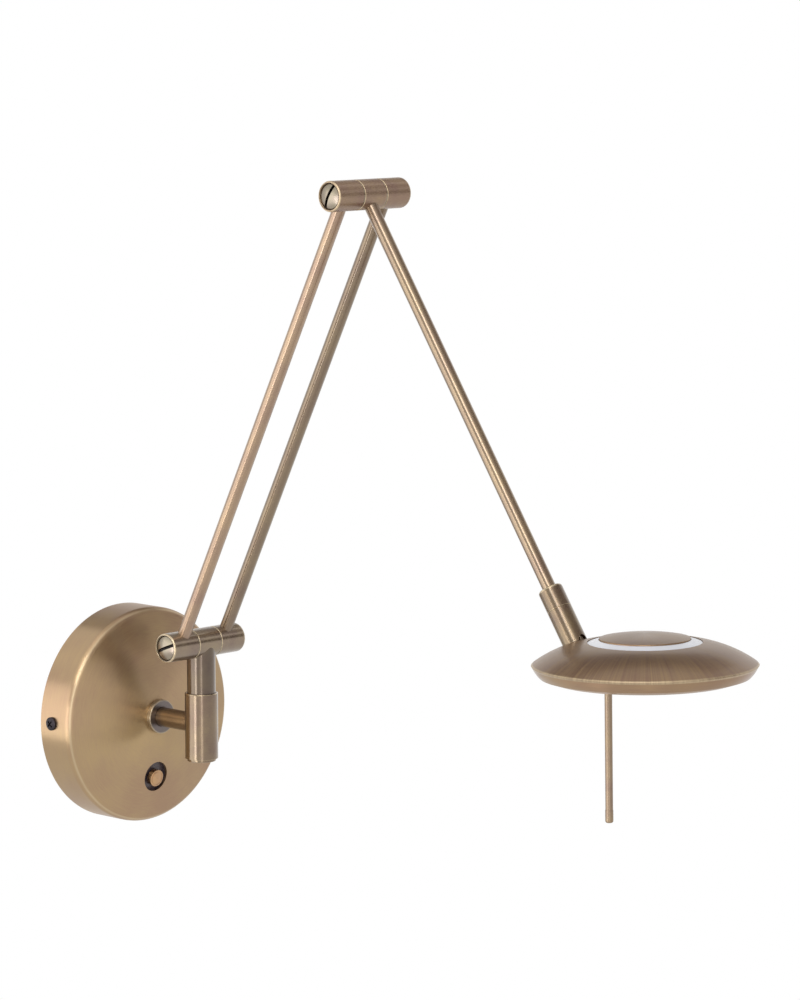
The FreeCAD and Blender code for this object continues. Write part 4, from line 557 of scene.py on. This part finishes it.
# Collar round the stub, and how far inside its edge the rim's painted highlight lies
COLLAR_BORE, COLLAR_BORE_ROUND = 6.05 * MM, 0.25 * MM
COLLAR_ROUND, COLLAR_RIM_INSET = 0.45 * MM, 0.1 * MM
# Sleeve at the head, along the upper rod from the tilt pin
SLEEVE_START, SLEEVE_END = 9.76 * MM, 23.3 * MM
SLEEVE_BORE, SLEEVE_END_ROUND = 2.6 * MM, 1.6 * MM
# The ball that holds the painted shade and grime of a hinge screw's slot: its middle from the
# hinge's, and its radius
SLOT_BALL_OFFSET, SLOT_BALL_RADIUS = Vector((-15.1 * MM, 0, 0)), 16.1 * MM


class LAMP_OT_hinges(bpy.types.Operator):
    """Turns both hinges' barrels: a counterbored near one, a knuckle and a closed far one."""
    bl_idname = "lamp.hinges"
    bl_label = "Hinge barrels"

    def execute(self, context):
        s, finishes = context.scene.lamp_sizes, context.scene.lamp_finishes
        r, edge, start, end = s.hinge_radius, s.worn_edge, s.barrel_start, s.hinge_half
        seat, wall = -end + COUNTERBORE_DEPTH, end - FAR_END_WALL
        near = [(-start, r, edge), (-end, r, NEAR_END_ROUND),
                (-end, COUNTERBORE, COUNTERBORE_ROUND), (seat, COUNTERBORE, 0),
                (seat, SHANK_BORE, 0), (-start, SHANK_BORE, 0)]
        far = [(end, r, FAR_END_ROUND), (start, r, edge), (start, SHANK_BORE, 0),
               (wall, SHANK_BORE, 0), (wall, PIN_HOLE, 0), (end, PIN_HOLE, 0)]
        ring = [(s.knuckle_half, r, edge), (-s.knuckle_half, r, edge),
                (-s.knuckle_half, KNUCKLE_BORE, 0), (s.knuckle_half, KNUCKLE_BORE, 0)]
        for hinge, knuckle, body, centre, finish, colour in (
                ("lower", "post_knuckle", "post_body", LOWER_HINGE, "turned_brass",
                 finishes.lower_hinge),
                ("elbow", "elbow_knuckle", "upper_arm_body", ELBOW, "handled_brass",
                 finishes.elbow)):
            material = brass(f"{finish}_{hinge}_hinge", finish, list(colour), centre, X_AXIS)
            fitted(turned(f"{hinge}_near_turning", near, centre, X_AXIS), "lower_arm_body",
                   f"{hinge}_near_barrel", material)
            fitted(turned(f"{hinge}_far_turning", far, centre, X_AXIS), "lower_arm_body",
                   f"{hinge}_far_barrel", material)
            fitted(turned(f"{hinge}_knuckle_turning", ring, centre, X_AXIS), body, knuckle,
                   material)
        return {"FINISHED"}


class LAMP_OT_rods(bpy.types.Operator):
    """Draws the three arm tubes from hinge to hinge."""
    bl_idname = "lamp.rods"
    bl_label = "Arm rods"

    def execute(self, context):
        s, finishes = context.scene.lamp_sizes, context.scene.lamp_finishes
        # The rods' separate tones carry painted light and shade
        for node, body, start, line, low, colour in (
                ("near_rod", "lower_arm_body", LOWER_HINGE, LOWER_LINE, s.rod_seat,
                 finishes.near_rod),
                ("far_rod", "lower_arm_body", LOWER_HINGE, LOWER_LINE, s.rod_seat,
                 finishes.far_rod),
                ("upper_rod", "upper_arm_body", TILT_PIN, UPPER_LINE, UPPER_ROD_START,
                 finishes.upper_rod)):
            aside = Vector((middle(node).x, 0, 0))
            start, r = start + aside, s.rod_radius
            end, bore = (ELBOW + aside - start).length - s.rod_seat, ROD_BORE_SHARE * r
            tube = [(end, r, 0), (low, r, 0), (low, bore, 0), (end, bore, 0)]
            material = brass(f"drawn_brass_{node}", "drawn_brass", list(colour), start, line)
            fitted(turned(f"{node}_tube", tube, start, line, ROD_SIDES), body, node,
                   material)
        return {"FINISHED"}


class LAMP_OT_swivel(bpy.types.Operator):
    """Turns the fixed barrel, the collar and the sleeve, and finishes the pieces beside them."""
    bl_idname = "lamp.swivel"
    bl_label = "Stub, swivel and sleeve"

    def execute(self, context):
        s, finishes = context.scene.lamp_sizes, context.scene.lamp_finishes
        edge = s.worn_edge
        low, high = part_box("swivel_barrel")
        top, foot, r, bore = high.z, low.z, s.fixed_radius, s.post_radius + POST_PLAY
        barrel = [(top, r, edge), (foot, r, FOOT_ROUND), (foot, CAP_BORE, 0),
                  (CAP_BORE_TOP, CAP_BORE, 0), (CAP_BORE_TOP, POST_SCREW_BORE, 0),
                  (POST_SEAT, POST_SCREW_BORE, 0), (POST_SEAT, bore, 0), (top, bore, MOUTH_ROUND)]
        material = brass("turned_brass_fixed_barrel", "turned_brass", list(finishes.barrel), SWIVEL,
                         Z_AXIS)
        fitted(turned("fixed_barrel_turning", barrel, SWIVEL, Z_AXIS), "wall_body", "swivel_barrel",
               material)
        dressed("barrel_end_cap", material)
        dressed("swivel_post",
                brass("turned_brass_post", "turned_brass", list(finishes.post), SWIVEL, Z_AXIS))
        low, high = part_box("stub_collar")
        collar = [(high.y, high.x, 0), (low.y, high.x, COLLAR_ROUND),
                  (low.y, COLLAR_BORE, COLLAR_BORE_ROUND), (high.y, COLLAR_BORE, 0)]
        # The collar's rim band is a painted highlight on its edge
        material = brass("turned_brass_collar", "turned_brass", list(finishes.collar), ORIGIN,
                         Y_AXIS, rim=high.x - COLLAR_RIM_INSET)
        fitted(turned("collar_turning", collar, ORIGIN, Y_AXIS), "wall_body", "stub_collar",
               material)
        dressed("stub_tube",
                brass("turned_brass_stub", "turned_brass", list(finishes.stub), ORIGIN, Y_AXIS))
        r = s.sleeve_radius
        sleeve = [(SLEEVE_END, r, SLEEVE_END_ROUND), (SLEEVE_START, r, edge),
                  (SLEEVE_START, SLEEVE_BORE, 0), (SLEEVE_END, SLEEVE_BORE, 0)]
        material = brass("turned_brass_sleeve", "turned_brass", list(finishes.joint), TILT_PIN,
                         UPPER_LINE)
        fitted(turned("sleeve_turning", sleeve, TILT_PIN, UPPER_LINE), "upper_arm_body",
               "joint_sleeve", material)
        for node in ("joint_tube", "swivel_nipple"):
            dressed(node, material)
        return {"FINISHED"}


class LAMP_OT_shells(bpy.types.Operator):
    """Finishes the canopy, the head's shells, the guide rod, the screws and the button."""
    bl_idname = "lamp.shells"
    bl_label = "Shells, screws and button"

    def execute(self, context):
        s, c = context.scene.lamp_sizes, context.scene.lamp_finishes
        # The canopy and the head's top get a painted highlight band along their rims
        for node, finish, colour, centre, axis, rim in (
                ("canopy", "spun_brass", c.canopy, ORIGIN, Y_AXIS, s.canopy_rim),
                ("upper_shell", "rubbed_brass", c.head, HEAD_MIDDLE, HEAD_AXIS, s.head_rim),
                ("lower_shell", "spun_brass", c.band, HEAD_MIDDLE, HEAD_AXIS, None)):
            dressed(node, brass(f"{finish}_{node}", finish, list(colour), centre, axis, rim=rim))
        for node, finish, colour, centre, axis, recess in (
                ("centre_cap", "rubbed_brass", c.head, HEAD_MIDDLE, HEAD_AXIS, None),
                ("head_lug", "turned_brass", c.joint, TILT_PIN, X_AXIS, None),
                ("lug_spacers", "bright_brass", c.screws, TILT_PIN, X_AXIS, None),
                ("guide_rod", "handled_brass", c.guide, middle("guide_rod_tip"), HEAD_AXIS, None),
                ("guide_rod_tip", "handled_brass", c.guide, middle("guide_rod_tip"), HEAD_AXIS,
                 None),
                ("guide_rod_collar", "turned_brass", c.guide, middle("guide_rod_collar"), HEAD_AXIS,
                 None),
                ("lower_hinge_screw", "bright_brass", c.screws, LOWER_HINGE, X_AXIS,
                 (LOWER_HINGE + SLOT_BALL_OFFSET, SLOT_BALL_RADIUS)),
                ("elbow_hinge_screw", "bright_brass", c.screws, ELBOW, X_AXIS,
                 (ELBOW + SLOT_BALL_OFFSET, SLOT_BALL_RADIUS)),
                ("lower_hinge_bushes", "bright_brass", c.screws, LOWER_HINGE, X_AXIS, None),
                ("elbow_bushes", "bright_brass", c.screws, ELBOW, X_AXIS, None),
                ("lock_nut", "bright_brass", c.screws, ORIGIN, Y_AXIS, None),
                ("earth_screw", "bright_brass", c.screws, middle("earth_screw"), Y_AXIS, None),
                ("dimmer_button", "turned_brass", c.button, middle("dimmer_button"), BUTTON_WAY,
                 None)):
            dressed(node, brass(f"{finish}_{node}", finish, list(colour), centre, axis, recess))
        return {"FINISHED"}


class LAMP_OT_plain(bpy.types.Operator):
    """Gives the steel, plastic, rubber and light pieces their finishes."""
    bl_idname = "lamp.plain"
    bl_label = "Plain finishes"

    def execute(self, context):
        for finish, nodes in PLAIN_NODES.items():
            material = plain(finish)
            for node in nodes:
                dressed(node, material)
        return {"FINISHED"}


# ---------------------------------------------------------------- stage

# The camera, from a least-squares fit to the photograph's edges: turn and dip in degrees, and the
# place in metres
CAMERA_TURN, CAMERA_DIP = 43.368, -7.468
CAMERA_PLACE = Vector((-1.67505, -1.82244, 0.45590))
CAMERA_LENS, CAMERA_SENSOR = 144.0, 36.0
LAMP_MIDDLE = Vector((0, -0.22, 0.1))
FLOOR_REACH = 6.0
# Distances from the lamp over which the floor melts into the white surroundings, and its share of
# white on the near side
MELT_BAND, NEAR_WHITE = (0.9, 1.6), 0.85

# Soft lights: heading and lift in degrees from the lamp's middle, distance, width and height in
# metres, the setting that holds the level, and the share of it
SOFT_LIGHTS = {
    "left_strip": (178, -9, 2.0, 0.44, 1.2, "strip_level", 1.1),
    "upper_strip": (-150, 40, 2.6, 0.60, 1.3, "strip_level", 1.2),
    "front_strip": (-133, 10, 3.2, 0.50, 3.4, "strip_level", 0.7),
    "left_bank": (146, -2, 2.2, 1.9, 1.7, "bank_level", 1.0),
    "top_light": (-150, 66, 2.4, 1.4, 1.4, "top_level", 1.0),
}
# Dark cards: the same first five numbers, and the tone that shows in the metal
DARK_CARDS = {
    "back_flag": (43, 48, 2.6, 2.8, 1.4, "#8C837D"),
    "upper_flag": (-62, 46, 2.6, 4.0, 0.95, "#918888"),
    "right_flag": (-50, 13, 2.6, 2.9, 0.75, "#5E5650"),
}


def facing_lamp(heading, lift, distance):
    """The place and turn of a light or a card that faces the lamp's middle from this far off."""
    turn, rise = math.radians(heading), math.radians(lift)
    way = Vector((math.cos(rise) * math.cos(turn), math.cos(rise) * math.sin(turn), math.sin(rise)))
    basis = (-way).to_track_quat("-Z", "Y").to_matrix().to_4x4()
    return Matrix.Translation(LAMP_MIDDLE + way * distance) @ basis


def softbox(name, heading, lift, distance, width, height, strength):
    """A rectangular soft light. Its power is strength * pi * area, so that lights of one strength
    look equally bright, whatever their size."""
    data = bpy.data.lights.new(name, "AREA")
    data.shape = "RECTANGLE"
    data.size, data.size_y = width, height
    data.energy = strength * math.pi * width * height
    light = bpy.data.objects.new(name, data)
    light.matrix_world = facing_lamp(heading, lift, distance)
    bpy.context.scene.collection.objects.link(light)


def flag(name, heading, lift, distance, width, height, code):
    """A dark studio card that only shows in the metal, and gives it dark edges."""
    place = facing_lamp(heading, lift, distance)
    w, h = width / 2, height / 2
    corners = [place @ Vector(p) for p in ((-w, -h, 0), (w, -h, 0), (w, h, 0), (-w, h, 0))]
    mesh = bpy.data.meshes.new(name)
    mesh.from_pydata(corners, [], [(0, 3, 2, 1)])
    card = bpy.data.objects.new(name, mesh)
    bpy.context.scene.collection.objects.link(card)
    material, tree, shader = blank(name)
    tree.nodes.remove(shader)
    glow = add(tree, "ShaderNodeEmission", {"Color": linear(code) + [1], "Strength": 1.0})
    surfaced(tree, glow.outputs["Emission"])
    mesh.materials.append(material)
    card.visible_camera = card.visible_diffuse = False
    card.visible_shadow = card.visible_transmission = False


class LAMP_OT_stage(bpy.types.Operator):
    """Sets the floor, the lights, the white surroundings and the camera."""
    bl_idname = "lamp.stage"
    bl_label = "Stage, lights and camera"

    def execute(self, context):
        stage = context.scene.lamp_stage
        floor(stage.floor_drop, stage.floor_colour)
        for name, (*place_and_size, setting, share) in SOFT_LIGHTS.items():
            softbox(name, *place_and_size, share * getattr(stage, setting))
        for name, numbers in DARK_CARDS.items():
            flag(name, *numbers)
        white_world(context.scene, stage.sky)
        photo_camera(context.scene)
        context.scene.view_settings.view_transform = "Standard"
        return {"FINISHED"}


def floor(drop, colour):
    """A level square of studio paper under the lamp."""
    reach, z = FLOOR_REACH, -drop
    mesh = bpy.data.meshes.new("floor")
    corners = [(-reach, -reach, z), (reach, -reach, z), (reach, reach, z), (-reach, reach, z)]
    mesh.from_pydata(corners, [], [(0, 1, 2, 3)])
    sheet = bpy.data.objects.new("floor", mesh)
    bpy.context.scene.collection.objects.link(sheet)
    mesh.materials.append(floor_paper(colour))


def photo_camera(scene):
    """The camera that took the photograph, as far as the fit to its edges tells."""
    data = bpy.data.cameras.new("camera")
    data.sensor_fit = "VERTICAL"
    data.sensor_height = CAMERA_SENSOR
    data.lens = CAMERA_LENS
    data.clip_end = 50
    camera = bpy.data.objects.new("camera", data)
    turn, dip = math.radians(CAMERA_TURN), math.radians(CAMERA_DIP)
    ahead = Vector((math.cos(dip) * math.cos(turn), math.cos(dip) * math.sin(turn), math.sin(dip)))
    right = Vector((math.sin(turn), -math.cos(turn), 0))
    basis = Matrix((right, right.cross(ahead), -ahead)).transposed().to_4x4()
    camera.matrix_world = Matrix.Translation(CAMERA_PLACE) @ basis
    scene.collection.objects.link(camera)
    scene.camera = camera


def seen_directly(tree):
    """1 for camera, glossy and transmission rays: what shows or mirrors the surroundings."""
    path = add(tree, "ShaderNodeLightPath").outputs
    either = add(tree, "ShaderNodeMath", {0: path["Is Camera Ray"], 1: path["Is Glossy Ray"]},
                 operation="MAXIMUM").outputs["Value"]
    return add(tree, "ShaderNodeMath", {0: either, 1: path["Is Transmission Ray"]},
               operation="MAXIMUM").outputs["Value"]


def floor_paper(colour):
    """White studio paper: matte, with a faint fibre. It keeps the lamp's shadow near the lamp and
    melts into the white surroundings further out."""
    material, tree, shader = blank("studio_paper")
    place = add(tree, "ShaderNodeTexCoord").outputs["Object"]
    fibre = add(tree, "ShaderNodeTexNoise", {
        "Vector": place, "Scale": 900.0, "Detail": 3.0}).outputs["Fac"]
    shader.inputs["Base Color"].default_value = list(colour) + [1]
    shader.inputs["Roughness"].default_value = 0.9
    bump = add(tree, "ShaderNodeBump", {"Height": fibre, "Strength": 0.1, "Distance": 0.05 * MM})
    tree.links.new(bump.outputs["Normal"], shader.inputs["Normal"])
    glow = add(tree, "ShaderNodeEmission", {"Color": (1, 1, 1, 1), "Strength": 1.0})
    away = add(tree, "ShaderNodeVectorMath", {0: place}, operation="LENGTH").outputs["Value"]
    share = add(tree, "ShaderNodeMath", {
        0: seen_directly(tree), 1: spread(tree, away, NEAR_WHITE, 1.0, MELT_BAND)},
        operation="MULTIPLY")
    mix = add(tree, "ShaderNodeMixShader", {
        "Fac": share.outputs["Value"], 1: shader.outputs["BSDF"], 2: glow.outputs["Emission"]})
    surfaced(tree, mix.outputs["Shader"])
    return material


def white_world(scene, strength):
    """White where it is seen or mirrored, and an even soft light elsewhere."""
    world = bpy.data.worlds.new("studio")
    world.use_nodes = True
    tree = world.node_tree
    tree.nodes.clear()
    even = add(tree, "ShaderNodeBackground", {"Color": (1, 1, 1, 1), "Strength": strength})
    white = add(tree, "ShaderNodeBackground", {"Color": (1, 1, 1, 1), "Strength": 1.0})
    mix = add(tree, "ShaderNodeMixShader", {
        "Fac": seen_directly(tree), 1: even.outputs["Background"], 2: white.outputs["Background"]})
    add(tree, "ShaderNodeOutputWorld", {"Surface": mix.outputs["Shader"]})
    scene.world = world


# ---------------------------------------------------------------- panel and registration

class LAMP_PT_panel(bpy.types.Panel):
    """Lists the lamp's steps and their settings."""
    bl_label = "Wall reading lamp"
    bl_idname = "LAMP_PT_panel"
    bl_space_type = "VIEW_3D"
    bl_region_type = "UI"
    bl_category = "Lamp"

    def draw(self, context):
        column = self.layout.column()
        for step in STEPS:
            column.operator(step.bl_idname)
        for group in ("lamp_sizes", "lamp_finishes", "lamp_stage"):
            settings = getattr(context.scene, group)
            for name in settings.__annotations__:
                column.prop(settings, name)


STEPS = (LAMP_OT_hinges, LAMP_OT_rods, LAMP_OT_swivel, LAMP_OT_shells, LAMP_OT_plain, LAMP_OT_stage)
CLASSES = (LampFinishes, LampSizes, LampStage) + STEPS + (LAMP_PT_panel,)


def register():
    for kind in CLASSES:
        bpy.utils.register_class(kind)
    bpy.types.Scene.lamp_finishes = PointerProperty(type=LampFinishes)
    bpy.types.Scene.lamp_sizes = PointerProperty(type=LampSizes)
    bpy.types.Scene.lamp_stage = PointerProperty(type=LampStage)


def unregister():
    del bpy.types.Scene.lamp_stage
    del bpy.types.Scene.lamp_sizes
    del bpy.types.Scene.lamp_finishes
    for kind in reversed(CLASSES):
        bpy.utils.unregister_class(kind)


def main():
    register()
    bpy.ops.lamp.hinges()
    bpy.ops.lamp.rods()
    bpy.ops.lamp.swivel()
    bpy.ops.lamp.shells()
    bpy.ops.lamp.plain()
    bpy.ops.lamp.stage()


if __name__ == "__main__":
    main()
